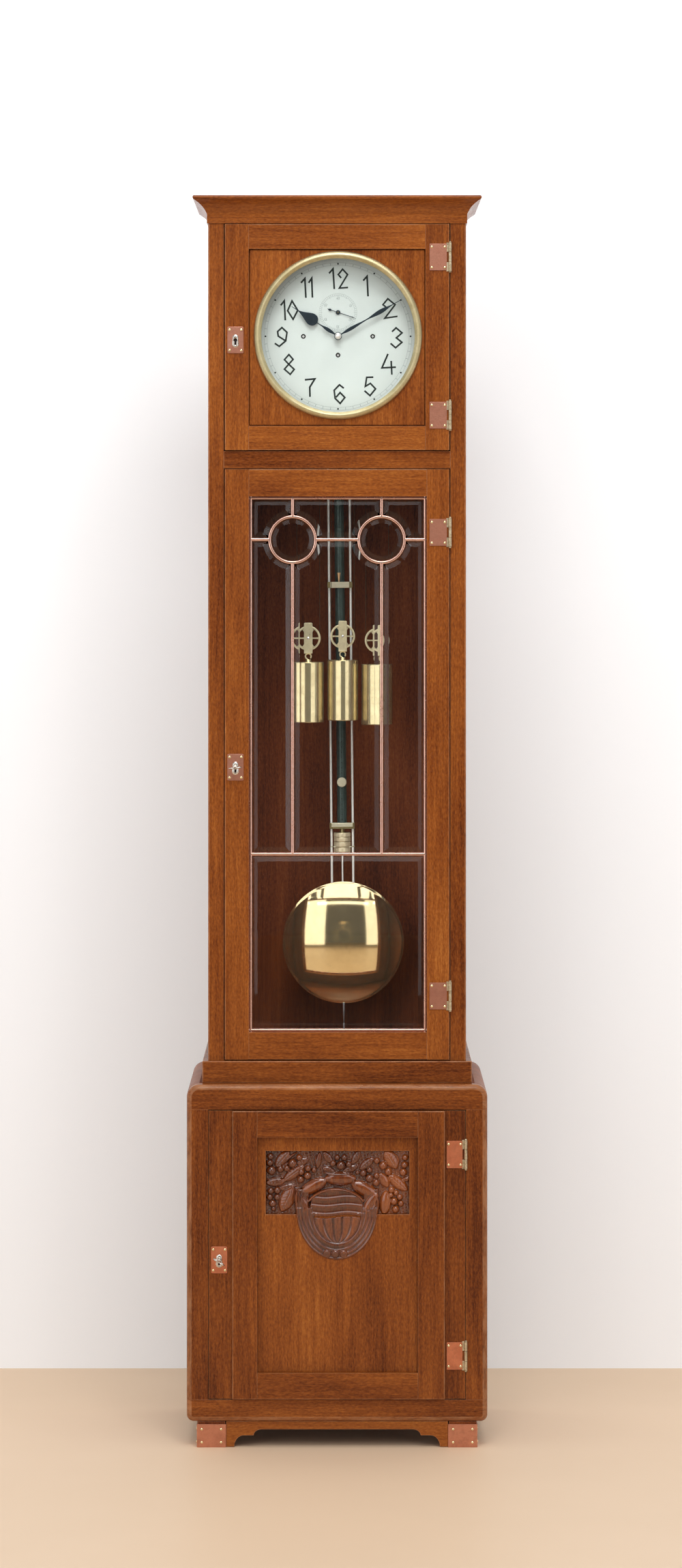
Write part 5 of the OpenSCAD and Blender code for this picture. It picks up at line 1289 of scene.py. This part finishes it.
# ------------------------------------------------------------------ weights, pulleys, lines
for i, nm in enumerate(NAMES):
    X, H = WX[i], HANG[i]
    w = MB()
    z0 = 1154.4 + H
    w.lathe([(0, z0), (23.6, z0), (24.6, z0 + 0.25), (25.1, z0 + 0.8), (25.25, z0 + 1.6), (25.25, z0 + 96.6), (25.1, z0 + 97.5), (24.6, z0 + 98.05), (23.6, z0 + 98.3), (12.0, z0 + 98.55), (5.4, z0 + 98.6), (5.0, z0 + 99.2), (4.8, z0 + 101.6), (4.3, z0 + 102.3), (0, z0 + 102.3)], (X, LINE_D, 0), "z", 128, mi=0)
    ring = [(X + 4.6 * math.cos(math.radians(a)), LINE_D, 1261.6 + H + 4.6 * math.sin(math.radians(a))) for a in range(-40, 266, 9)]
    w.tube(ring, 1.25, 14, mi=1)
    for s in (-1, 1):
        w.prism([(X - 6.8, 1268.2 + H), (X + 6.8, 1268.2 + H), (X + 6.8, 1314.8 + H), (X + 5.6, 1316 + H), (X - 5.6, 1316 + H), (X - 6.8, 1314.8 + H)],
                "y", LINE_D + s * 5.2 - 0.7, LINE_D + s * 5.2 + 0.7, bevs=[(is_sharp, 0.3, 2)], mi=1)
    w.board(X - 6.8, X + 6.8, LINE_D - 5.9, LINE_D + 5.9, 1266 + H, 1268.3 + H, bev=0.5, seg=2, mi=1)
    w.lathe([(0, LINE_D - 7.2), (1.2, LINE_D - 7.1), (1.95, LINE_D - 6.6), (1.95, LINE_D + 6.6), (1.2, LINE_D + 7.1), (0, LINE_D + 7.2)], (X, 0, PULLEY_Z + H), "y", 24, mi=2)
    w.build("weight_%s_shell" % nm, [M_WEIGHT, M_CREAM, M_STEEL], "weight_%s_body" % nm, ["weight_%s" % nm], "brass", sharp=40)

    pl = MB()
    zc = PULLEY_Z + H
    # grooved rim
    pl.lathe([(16.6, LINE_D - 1.9), (17.1, LINE_D - 2.5), (19.6, LINE_D - 2.6), (20, LINE_D - 2.3), (20, LINE_D - 1.9), (19.0, LINE_D - 1.1), (18.2, LINE_D - 0.5), (18.0, LINE_D), (18.2, LINE_D + 0.5), (19.0, LINE_D + 1.1), (20, LINE_D + 1.9), (20, LINE_D + 2.3), (19.6, LINE_D + 2.6), (17.1, LINE_D + 2.5), (16.6, LINE_D + 1.9), (16.6, LINE_D - 1.9)], (X, 0, zc), "y", 96, mi=0)
    pl.lathe([(2.05, LINE_D - 3.8), (4.1, LINE_D - 3.8), (4.5, LINE_D - 3.4), (4.5, LINE_D + 3.4), (4.1, LINE_D + 3.8), (2.05, LINE_D + 3.8), (2.05, LINE_D - 3.8)], (X, 0, zc), "y", 40, mi=0)
    for k in range(6):
        a = math.radians(30 + 60 * k)
        c, s = math.sin(a), math.cos(a)
        pts = []
        for t in range(9):
            r = 4.1 + (17.0 - 4.1) * t / 8
            wdt = 1.0 + 0.7 * (abs(t - 4) / 4) ** 2
            pts.append((r, wdt))
        lp = [(X + c * r + s * wd, zc + s * r - c * wd) for r, wd in pts] + [(X + c * r - s * wd, zc + s * r + c * wd) for r, wd in reversed(pts)]
        pl.prism(lp, "y", LINE_D - 1.6, LINE_D + 1.6, bevs=[], mi=0)
    pl.build("pulley_%s_wheel" % nm, [M_CREAM], "pulley_%s_body" % nm, ["pulley_%s" % nm], "brass", sharp=40)

    # line: up to the barrel, half round the wheel, up to the seat board
    lg = MB()
    path = [(X + WHEEL_C, LINE_D, DIAL_Z + WIND[i][1])]
    n_ = 80
    for k in range(1, n_):
        path.append((X + WHEEL_C, LINE_D, DIAL_Z + WIND[i][1] + (zc - DIAL_Z - WIND[i][1]) * k / n_))
    path += [(X + WHEEL_C * math.cos(math.radians(-a)), LINE_D, zc + WHEEL_C * math.sin(math.radians(-a))) for a in range(0, 181, 6)]
    top = 1701.0
    for k in range(1, n_ + 1):
        path.append((X - WHEEL_C, LINE_D, zc + (top - zc) * k / n_))
    lg.tube(path, 0.46, 10)
    ob = lg.build("line_%s_gut" % nm, [M_GUT], None, (), "gut", sharp=60, weighted=False)
    LINES.append((ob, i))

# each line keeps the height of its points in the attribute along and is baked where it stands; lo and hi mark the
# stretch between the wheel and the seat board, but nothing here uses them
for ob, i in LINES:
    lo = P(WX[i], LINE_D, PULLEY_Z + HANG[i] + 3)
    hi = P(WX[i], LINE_D, 1688)
    me = ob.data
    att = me.attributes.new("along", "FLOAT", "POINT")
    att.data.foreach_set("value", [v.co.z for v in me.vertices])
    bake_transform(ob)
    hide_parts("line_%s" % NAMES[i])

# ------------------------------------------------------------------ the carved basket
def carving():
    import numpy as np
    step_ = 0.55
    x0, x1, z0, z1 = -113.85, 115.25, 299.6, 472.85
    nx, nz = int((x1 - x0) / step_) + 1, int((z1 - z0) / step_) + 1
    xs, zs = np.linspace(x0, x1, nx), np.linspace(z0, z1, nz)
    XX, ZZ = np.meshgrid(xs, zs, indexing="ij")
    U, V = (XX + 129.8) * 6, (480.7 - ZZ) * 6          # drawing units, six to the millimetre
    rng = np.random.RandomState(5)

    def wav(a, b, c, d):
        return np.sin(U * a + V * b + c) * np.sin(U * b * 0.7 - V * a * 1.1 + d)
    H = 0.45 + 0.35 * wav(0.11, 0.07, 0, 1) + 0.22 * wav(0.23, 0.19, 2, 4) + 0.15 * wav(0.4, 0.33, 1, 3)
    # S holds each element's tone with painted shade in it: the sunk ground is set darker than the leaves and fruit,
    # partly its own tone, and valleys and hollows are darkened further below
    S = np.full_like(H, -0.07)                            # tone
    rect = (ZZ >= 372.1)
    cx, cy, ax, ay = 777.0, 604.0, 392.0, 484.0
    rho = np.sqrt(((U - cx) / ax) ** 2 + ((V - cy) / ay) ** 2)
    lower = (V >= 604) & (rho < 1)

    def put(Hn, Sn, mask=None):
        """Lays a shape over the field where it stands higher."""
        m = Hn > H
        if mask is not None:
            m &= mask
        H[m] = Hn[m]
        S[m] = (Sn if np.isscalar(Sn) else Sn[m]) if np.isscalar(Sn) else Sn[m]

    def almond(cu, cv, length, width, ang, h, base=1.0, ridge=0.5, veins=0, tone=0.03, bend=0.0, power=0.75):
        a = math.radians(ang)
        fruit = ridge == 0.0
        length, width = length * 1.04, width * (1.06 if fruit else 1.22)
        p = (U - cu) * math.cos(a) - (V - cv) * math.sin(a)     # along, up to the right
        q = (U - cu) * math.sin(a) + (V - cv) * math.cos(a)
        q = q - bend * (1 - (p / (length / 2)) ** 2) * width
        t = np.clip(1 - (p / (length / 2)) ** 2, 0, None)
        wv = width / 2 * t ** (0.5 if fruit else 0.66) + 1e-6
        e = q / wv
        inside = (np.abs(e) < 1) & (t > 0)
        hh = base + h * np.clip(1 - e ** 2, 0, 1) ** power * (0.35 + 0.65 * t ** 0.5)
        if ridge:
            hh = hh - ridge * np.exp(-(q / 4.5) ** 2) * (t > 0.06)
        if veins:
            hh = hh + 0.13 * np.sin((p + np.abs(q) * 0.9) * 2 * math.pi / (length / veins)) * np.clip(1 - e ** 2, 0, 1) ** 0.5
        put(np.where(inside, hh, -9), tone)

    def ribbon(pts, w, h, base=1.0, tone=-0.04, taper=True):
        pts = [(pts[i][0], pts[i][1]) for i in range(len(pts))]
        best = np.full_like(H, 1e9); pos = np.zeros_like(H)
        total = len(pts) - 1
        for i in range(total):
            (ax_, ay_), (bx_, by_) = pts[i], pts[i + 1]
            dx, dy = bx_ - ax_, by_ - ay_
            L2 = dx * dx + dy * dy
            t = np.clip(((U - ax_) * dx + (V - ay_) * dy) / L2, 0, 1)
            d = np.hypot(U - ax_ - t * dx, V - ay_ - t * dy)
            m = d < best
            best[m] = d[m]; pos[m] = ((i + t) / total)[m]
        ww = w / 2 * (np.clip(np.sin(math.pi * np.clip(pos, 0.04, 0.96)), 0.2, 1) ** 0.6 if taper else 1.0)
        e = best / ww
        put(np.where(e < 1, base + h * np.sqrt(np.clip(1 - e ** 2, 0, 1)), -9), tone)

    def grape(cu, cv, r, base=2.2):
        r = r * 1.04
        d2 = (U - cu) ** 2 + (V - cv) ** 2
        put(np.where(d2 < r * r, base + np.sqrt(np.clip(r * r - d2, 0, None)) / 6 * 1.0, -9), -0.035)

    # leaves, pods and fruit round the basket
    almond(255, 128, 190, 92, 48, 4.2, ridge=0.9, veins=7, tone=0.0)
    ribbon([(196, 222), (240, 176), (300, 128), (345, 90), (392, 62)], 26, 2.6, base=2.2, tone=-0.05)
    ribbon([(205, 238), (262, 200), (330, 150), (372, 110)], 16, 1.6, base=1.6, tone=-0.05)
    almond(188, 345, 176, 78, 5, 4.0, ridge=0.5, veins=6, tone=-0.01)
    ribbon([(96, 322), (150, 312), (210, 300), (262, 300)], 18, 2.4, base=1.8, tone=-0.05)
    almond(362, 262, 240, 84, 36, 4.4, ridge=0.9, veins=8, tone=0.0)
    almond(300, 508, 250, 120, 64, 5.0, ridge=0.8, veins=8, tone=0.02)
    almond(338, 470, 190, 56, 78, 5.2, ridge=0.6, tone=0.0)
    almond(556, 384, 262, 124, 26, 6.6, ridge=0.0, tone=0.07)
    ribbon([(432, 398), (470, 372), (520, 340), (566, 318)], 15, 1.6, base=4.8, tone=-0.02)
    almond(600, 140, 150, 52, 80, 3.6, ridge=0.5, tone=-0.03)
    ribbon([(580, 82), (570, 112), (573, 150), (588, 190)], 15, 3.2, base=1.8, tone=-0.02)
    almond(810, 312, 290, 128, 0, 6.2, ridge=0.0, tone=0.07)
    ribbon([(645, 250), (700, 268), (780, 276), (860, 272), (930, 258)], 20, 1.6, base=4.6, tone=-0.04)
    almond(700, 232, 130, 60, -22, 3.0, ridge=0.5, veins=5, tone=-0.04)
    almond(905, 220, 150, 60, 20, 3.2, ridge=0.5, veins=5, tone=-0.04)
    almond(1040, 412, 258, 130, -24, 6.6, ridge=0.0, tone=0.07)
    ribbon([(938, 318), (940, 350), (958, 392)], 20, 2.4, base=4.6, tone=0.0)
    almond(1062, 170, 170, 70, 40, 3.6, ridge=0.6, veins=6, tone=-0.02)
    almond(1296, 130, 200, 104, -56, 4.6, ridge=0.8, veins=7, tone=0.0)
    ribbon([(1310, 62), (1352, 96), (1366, 140), (1352, 190), (1336, 222)], 20, 3.4, base=2.2, tone=-0.02)
    almond(1228, 326, 150, 84, -60, 4.6, ridge=0.5, tone=0.0)
    almond(1362, 352, 226, 90, -40, 4.8, ridge=0.8, veins=7, tone=0.01)
    ribbon([(1290, 286), (1322, 296), (1376, 330), (1430, 372)], 16, 2.0, base=3.0, tone=-0.03)
    almond(1242, 540, 218, 108, 84, 5.4, ridge=0.0, tone=0.02)
    ribbon([(1252, 430), (1276, 480), (1284, 540), (1280, 600)], 16, 2.8, base=3.0, tone=-0.04)
    almond(1440, 320, 100, 40, 10, 2.6, ridge=0.4, tone=-0.04)
    almond(450, 150, 120, 60, 20, 2.6, ridge=0.5, veins=5, tone=-0.05)
    almond(690, 110, 130, 60, -50, 2.6, ridge=0.5, veins=5, tone=-0.05)
    almond(960, 110, 140, 60, 60, 2.8, ridge=0.5, veins=5, tone=-0.05)
    almond(1120, 330, 160, 70, 20, 2.6, ridge=0.5, veins=5, tone=-0.04)
    almond(300, 395, 170, 50, 10, 2.2, ridge=0.4, veins=6, tone=-0.06)
    for cu, cv, r in ((140, 100, 30), (135, 160, 32), (150, 235, 42), (415, 110, 30), (350, 165, 40), (235, 220, 32), (297, 215, 30), (500, 215, 30), (435, 250, 30), (558, 230, 25), (495, 285, 35),
                      (428, 320, 33), (143, 430, 30), (205, 425, 32), (135, 490, 30), (205, 490, 30), (160, 550, 35), (780, 110, 26), (848, 110, 30), (740, 165, 30), (815, 185, 42), (890, 175, 30),
                      (1160, 140, 30), (1220, 185, 40), (1270, 245, 35), (1090, 230, 28), (1030, 260, 32), (975, 255, 20), (1158, 285, 30), (1090, 310, 38), (1153, 350, 33), (1430, 110, 28), (1425, 180, 32),
                      (1413, 250, 35), (1300, 420, 30), (1345, 450, 25), (1380, 490, 28), (1325, 530, 35), (1390, 550, 28), (1340, 605, 33), (1296, 470, 24), (170, 600, 22)):
        grape(cu, cv, r)
    # basket: a body of nested ribs under an arched rim
    arch = 470.0 - 62 * np.cos(np.clip((U - 768) / 262, -1.5, 1.5) * math.pi / 2) + 60
    arch = 530 - 118 * np.clip(1 - ((U - 768) / 262) ** 2, 0, None) ** 0.72
    rib = 0.5 + 0.5 * np.cos((rho - 0.985) * 2 * math.pi / 0.088)
    body_h = 7.0 + 1.5 * rib ** 0.7 - 1.6 * np.clip((rho - 0.955) / 0.045, 0, 1) ** 2
    side = (rho < 1) & (V > 560) & (rho > 0.60)
    # the valleys between the ribs take the darker tone: painted shade
    put(np.where(side & (V >= 586), body_h, -9), np.where(rib > 0.55, -0.05, -0.10))
    # scroll handles at both ends of the rim, on a ground that rises out of the field
    for ua, ub in ((374, 516), (1026, 1178)):
        fall = np.clip(np.minimum(np.minimum(U - ua, ub - U), np.minimum(V - 405, 690 - V)) / 14, 0, 1)
        put(np.where((fall > 0) & (rho < 1.1) & ((V < 604) | (rho < 0.985)), 5.4 * np.sqrt(fall), -9), -0.07)
    almond(462, 560, 150, 66, -72, 2.6, base=5.6, ridge=0.5, tone=-0.02)
    almond(1104, 536, 196, 84, 54, 3.0, base=5.6, ridge=0.0, tone=0.05)
    ribbon([(392, 640), (386, 560), (384, 480), (398, 420)], 22, 3.4, base=5.0, tone=-0.04)
    ribbon([(420, 640), (412, 560), (412, 480), (428, 428)], 20, 3.0, base=5.0, tone=-0.06)
    ribbon([(452, 630), (436, 560), (438, 490), (456, 440)], 20, 3.0, base=5.0, tone=-0.06)
    ribbon([(488, 470), (496, 520), (492, 570), (470, 610), (440, 628)], 22, 3.0, base=5.4, tone=-0.05)
    ribbon([(1168, 640), (1172, 570), (1170, 520), (1150, 470)], 22, 3.4, base=5.0, tone=-0.04)
    ribbon([(1022, 575), (1034, 612), (1072, 628), (1112, 610), (1142, 570), (1150, 520)], 22, 3.0, base=5.4, tone=-0.04)
    e2 = np.sqrt(((U - 780) / 262) ** 2 + ((V - 640) / 330) ** 2)
    mouth = (V > arch) & (V < 700) & (U > 508) & (U < 1028) & (rho < 0.985) & ((V < 520) | (e2 < 1.01))
    wave = 9 * np.sin((U - 560) / 420 * 2 * math.pi)
    band = 0.5 + 0.5 * np.cos((V - 495 - wave) / 75 * 2 * math.pi)
    inner = np.sqrt(((U - 782) / 228) ** 2 + (np.clip(V - 655, 0, None) / 268) ** 2)
    mh_ = 7.4 + 1.5 * band ** 2.2 - 0.8 * np.abs((U - 768) / 262) ** 2
    # the troughs between the bands take the darker tone: painted shade
    put(np.where(mouth & (V < 662 + wave), mh_, -9), np.where(band > 0.5, -0.03, -0.08))
    ribbon([(U0, 530 - 118 * max(1 - ((U0 - 768) / 262) ** 2, 0) ** 0.72) for U0 in range(508, 1030, 26)], 20, 2.4, base=7.6, tone=0.0, taper=False)
    # nested ribs inside the body
    r2 = 0.5 + 0.5 * np.cos((e2 - 0.93) * 2 * math.pi / 0.16)
    # the valleys between the nested ribs take the darker tone: painted shade
    put(np.where((V > 640) & (e2 < 1.02) & (e2 > 0.70), 7.6 + 1.3 * r2 ** 0.8, -9), np.where(r2 > 0.5, -0.05, -0.10))
    bowl = (V > 664 + wave) & (((U - 782) / 222) ** 2 + ((V - 664) / 262) ** 2 < 1)
    yy = np.clip((V - 664) / 262, 0, 0.999)
    half = 222 * np.sqrt(1 - yy ** 2)
    t = (U - 782) / np.maximum(half, 1)
    lobe = np.abs(np.cos(np.clip(t, -1, 1) * math.pi * 2.5))
    H[bowl] = (5.6 + 2.9 * lobe ** 0.55 * np.clip(1 - t ** 2, 0, 1) ** 0.35 * (1 - 0.35 * yy) )[bowl]
    # the lobes' tops are set lighter and the grooves between them darker: painted highlight and painted shade
    S[bowl] = np.where(lobe > 0.45, 0.035, -0.09)[bowl]
    # the strip of the bowl just under the mouth is cut lower and set darkest: painted shade under the rim
    ed = bowl & ((V - 664 - wave) < 16)
    H[ed] = np.minimum(H[ed], 5.2); S[ed] = -0.14
    for cu in (680, 762, 840):
        r = 40
        d2 = (U - cu) ** 2 + (V - 1026) ** 2
        m = d2 < r * r
        H[m] = (6.4 + np.sqrt(np.clip(r * r - d2, 0, None)) / 6 * 0.85)[m]; S[m] = -0.03
    # feathery tool marks on everything
    H += 0.045 * wav(0.52, 0.31, 0.4, 2.2) + 0.02 * wav(1.1, 0.83, 1.4, 0.2)
    # the rims of the field: down to the floor inside the sunk part, and to the panel's face below it
    edge_r = np.minimum(np.minimum(XX - x0, x1 - XX), z1 - ZZ)
    H = np.where(rect, np.minimum(H, 0.35 + edge_r * 3.2), H)
    wall = np.clip((ZZ - 372.1) * 2.4, 0, None)
    out_low = (rho > 0.995) & rect
    H = np.where(out_low, np.minimum(H, 0.35 + wall), H)
    edge_l = np.clip((1 - rho) * 392 / 6, 0, None)
    H = np.where(~rect, np.minimum(H, 5.75 + 1.1 * np.sqrt(np.clip(edge_l, 0, None)) * 1.6), H)
    H = np.clip(H, 0.25, 12.6)
    keep = rect | lower
    # smooth the steps a little
    for _ in range(1):
        K = H.copy()
        K[1:-1, 1:-1] = 0.5 * H[1:-1, 1:-1] + 0.125 * (H[:-2, 1:-1] + H[2:, 1:-1] + H[1:-1, :-2] + H[1:-1, 2:])
        both = np.zeros_like(keep)
        both[1:-1, 1:-1] = keep[1:-1, 1:-1] & keep[:-2, 1:-1] & keep[2:, 1:-1] & keep[1:-1, :-2] & keep[1:-1, 2:]
        H = np.where(both, K, H)
    for _ in range(7):          # the handles run softly into the body
        K = H.copy()
        K[1:-1, 1:-1] = 0.4 * H[1:-1, 1:-1] + 0.15 * (H[:-2, 1:-1] + H[2:, 1:-1] + H[1:-1, :-2] + H[1:-1, 2:])
        H = np.where(both & (V > 540) & (V < 668) & ((np.abs(U - 445) < 78) | (np.abs(U - 1100) < 84)), K, H)
    # painted shade and highlight: hollows are darker and raised parts a little lighter, compared with a wide average of
    # the height
    A = H.copy()
    for _ in range(14):
        A[1:-1, 1:-1] = 0.25 * (A[:-2, 1:-1] + A[2:, 1:-1] + A[1:-1, :-2] + A[1:-1, 2:])
    S = S + np.clip((H - A) * 0.05, -0.11, 0.05)
    cell = keep[:-1, :-1] & keep[1:, :-1] & keep[:-1, 1:] & keep[1:, 1:]
    used = np.zeros_like(keep)
    for a in (0, 1):
        for b in (0, 1):
            used[a:nx - 1 + a, b:nz - 1 + b] |= cell
    idx = -np.ones((nx, nz), int)
    idx[used] = np.arange(used.sum())
    n = int(used.sum())
    px, pz_, ph = XX[used], ZZ[used], H[used]
    topv = np.stack([px / 1000, (9 - ph - YO) / 1000, pz_ / 1000], 1)
    botv = np.stack([px / 1000, np.full(n, (8.99 - YO) / 1000), pz_ / 1000], 1)
    i, j = np.nonzero(cell)
    a, b, c, d = idx[i, j], idx[i + 1, j], idx[i + 1, j + 1], idx[i, j + 1]
    top = np.stack([a, b, c, d], 1)
    cs = np.pad(cell, 1)
    sides_, tones = [], []
    for di, dj, p0, p1 in ((-1, 0, (0, 1), (0, 0)), (1, 0, (1, 0), (1, 1)), (0, -1, (0, 0), (1, 0)), (0, 1, (1, 1), (0, 1))):
        m = cell & ~cs[1 + di:1 + di + nx - 1, 1 + dj:1 + dj + nz - 1]
        ii, jj = np.nonzero(m)
        q0, q1 = idx[ii + p0[0], jj + p0[1]], idx[ii + p1[0], jj + p1[1]]
        sides_.append(np.stack([q0, q0 + n, q1 + n, q1], 1))
    side_f = np.concatenate(sides_)
    bot = np.stack([d, c, b, a], 1) + n
    faces = np.concatenate([top, side_f, bot])
    # the back needs no detail, but each of its quads closes the solid
    verts = np.concatenate([topv, botv])
    me = bpy.data.meshes.new("base_door_carved_basket")
    me.vertices.add(len(verts)); me.vertices.foreach_set("co", verts.ravel())
    me.loops.add(faces.size); me.loops.foreach_set("vertex_index", faces.ravel().astype(np.int32))
    me.polygons.add(len(faces)); me.polygons.foreach_set("loop_start", np.arange(0, faces.size, 4, dtype=np.int32))
    me.update(calc_edges=True)
    me.validate()
    me.materials.append(M_CARVED)
    me.polygons.foreach_set("use_smooth", [True] * len(me.polygons))
    fs = S[i, j]
    # the walls round the carving's edge are set to -0.08 and its back to -0.1: painted shade
    sh_ = np.concatenate([fs, np.full(len(side_f), -0.08), np.full(len(bot), -0.1)]).astype(np.float32)
    co = verts[faces.ravel()]
    wc = np.stack([co[:, 2] + 3.1, co[:, 0] + 1.7, co[:, 1] + 5.3], 1).astype(np.float32)
    me.attributes.new("wc", "FLOAT_VECTOR", "CORNER").data.foreach_set("vector", wc.ravel())
    me.attributes.new("edge", "FLOAT", "FACE").data.foreach_set("value", np.zeros(len(faces), np.float32))
    me.attributes.new("shade", "FLOAT", "FACE").data.foreach_set("value", sh_)
    me.set_sharp_from_angle(angle=math.radians(70))
    me.update()
    o = bpy.data.objects.new("base_door_carved_basket", me)
    bpy.context.scene.collection.objects.link(o)
    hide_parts("base_door_carving")
    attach(o, "base_door")
carving()

# ------------------------------------------------------------------ CAD nodes that stay: their finishes
def finish_node(name, mat, grain=None, shade=0.0, seed=0, sharp=30):
    o = NODES[name]
    me = o.data
    me.materials.clear()
    me.materials.append(mat)
    me.polygons.foreach_set("material_index", [0] * len(me.polygons))
    me.polygons.foreach_set("use_smooth", [True] * len(me.polygons))
    me.set_sharp_from_angle(angle=math.radians(sharp))
    if grain:
        rnd = random.Random(seed * 101 + 3)
        off = [rnd.uniform(0, 9) for _ in range(3)]
        wc = []
        for lp in me.loops:
            x, y, z = me.vertices[lp.vertex_index].co
            a, b, c = (z, x, y) if grain == "z" else (x, z, y) if grain == "x" else (y, z, x)
            wc += (a + off[0], b + off[1], c + off[2])
        me.attributes.new("wc", "FLOAT_VECTOR", "CORNER").data.foreach_set("vector", wc)
        me.attributes.new("edge", "FLOAT", "FACE").data.foreach_set("value", [0.0] * len(me.polygons))
        me.attributes.new("shade", "FLOAT", "FACE").data.foreach_set("value", [shade] * len(me.polygons))
    return o

finish_node("back_boards", M_WOOD_IN, "z", 0.0, 1)
finish_node("base_inner_boards", M_WOOD_IN, "x", 0.02, 2)
finish_node("seat_board", M_WOOD_IN, "x", 0.0, 3)
finish_node("movement_frame", M_BRASS)
finish_node("suspension_cock", M_BRASS_OLD)
finish_node("gong", M_GREY)
finish_node("strike_hammer", M_BRASS_OLD)
finish_node("anchor", M_GREY)
finish_node("escape_wheel", M_BRASS)
finish_node("dial_plate", M_DIAL)
finish_node("dial_glass", M_GLASS)
for nm in NAMES:
    o = finish_node("barrel_%s" % nm, M_BARREL)
    o.data.materials.append(M_BALL)
    front_y = (75 - YO) / 1000
    o.data.polygons.foreach_set("material_index", [1 if all(o.data.vertices[k].co.y < front_y for k in p.vertices) else 0 for p in o.data.polygons])

# ------------------------------------------------------------------ floor, wall, light, camera
def stage_material(name, c, var, rough, scale):
    m, nt, b, out = mat_new(name)
    oc = obj_coord(nt)
    n = noise(nt, oc, scale, 3, 0.5)
    link(nt, mix(nt, remap(nt, n, 0.3, 0.7, 0, 1), c, tuple(x * (1 - var) for x in c)), b.inputs["Base Color"])
    link(nt, remap(nt, n, 0.3, 0.7, rough - 0.04, rough + 0.04), b.inputs["Roughness"])
    return m

def sheet(name, corners, mat):
    me = bpy.data.meshes.new(name)
    me.from_pydata(corners, [], [(0, 1, 2, 3)])
    me.materials.append(mat)
    o = bpy.data.objects.new(name, me)
    bpy.context.scene.collection.objects.link(o)
    return o

WALL_Y = 0.50
floor = sheet("floor", [(-6, -9, 0), (6, -9, 0), (6, WALL_Y, 0), (-6, WALL_Y, 0)], stage_material("floor_pale", (0.715, 0.535, 0.37), 0.04, 0.5, 2.0))
wall = sheet("wall", [(-6, WALL_Y, 0), (6, WALL_Y, 0), (6, WALL_Y, 5), (-6, WALL_Y, 5)], stage_material("wall_white", (0.92, 0.945, 0.975), 0.01, 0.9, 1.0))
stage_objs = [floor, wall]

def area(name, loc, aim, size, energy, col=(1, 1, 1), spread=180):
    l = bpy.data.lights.new(name, "AREA")
    l.shape = "RECTANGLE"; l.size, l.size_y = size
    l.energy = energy; l.color = col
    l.spread = math.radians(spread)
    o = bpy.data.objects.new(name, l)
    o.location = loc
    d = Vector(aim) - Vector(loc)
    o.rotation_euler = d.to_track_quat("-Z", "Y").to_euler()
    bpy.context.scene.collection.objects.link(o)
    return o

stage_objs += [area("card_left", (-2.75, -4.15, 1.9), (0, 0, 1.7), (3.5, 3.4), 64),
               area("card_right", (2.85, -4.05, 1.9), (0, 0, 1.7), (3.0, 3.4), 47),
               area("card_high", (0, -4.7, 4.2), (0, 0, 1.1), (4.2, 2.1), 60),
               area("key_top", (0.25, -2.7, 4.7), (0, 0, 1.2), (1.9, 1.1), 84),
               area("wall_wash", (0, -0.9, 4.6), (0, 0.5, 1.6), (5.0, 0.5), 50),
               area("fill_left", (-1.6, -0.2, 1.4), (0, 0.5, 1.2), (0.4, 2.7), 6.5),
               area("fill_right", (1.6, -0.2, 1.4), (0, 0.5, 1.2), (0.4, 2.7), 6.5)]
w = bpy.data.worlds.new("studio")
w.use_nodes = True
bg = w.node_tree.nodes["Background"]
bg.inputs[0].default_value = (0.95, 0.97, 1.0, 1)
bg.inputs[1].default_value = 0.09
bpy.context.scene.world = w

cam_d = bpy.data.cameras.new("view_front")
cam_d.lens = 93.53
cam_d.sensor_width = 36
cam_d.shift_x, cam_d.shift_y = 0.0025, -0.141
cam_d.clip_end = 50
cam = bpy.data.objects.new("view_front", cam_d)
cam.location = (0, -6.64175, 1.412)
cam.rotation_euler = (math.radians(90), 0, 0)
bpy.context.scene.collection.objects.link(cam)
bpy.context.scene.camera = cam

vs = bpy.context.scene.view_settings
vs.view_transform = "Standard"
vs.look = "None"
vs.exposure = 0.0
vs.gamma = 1.0
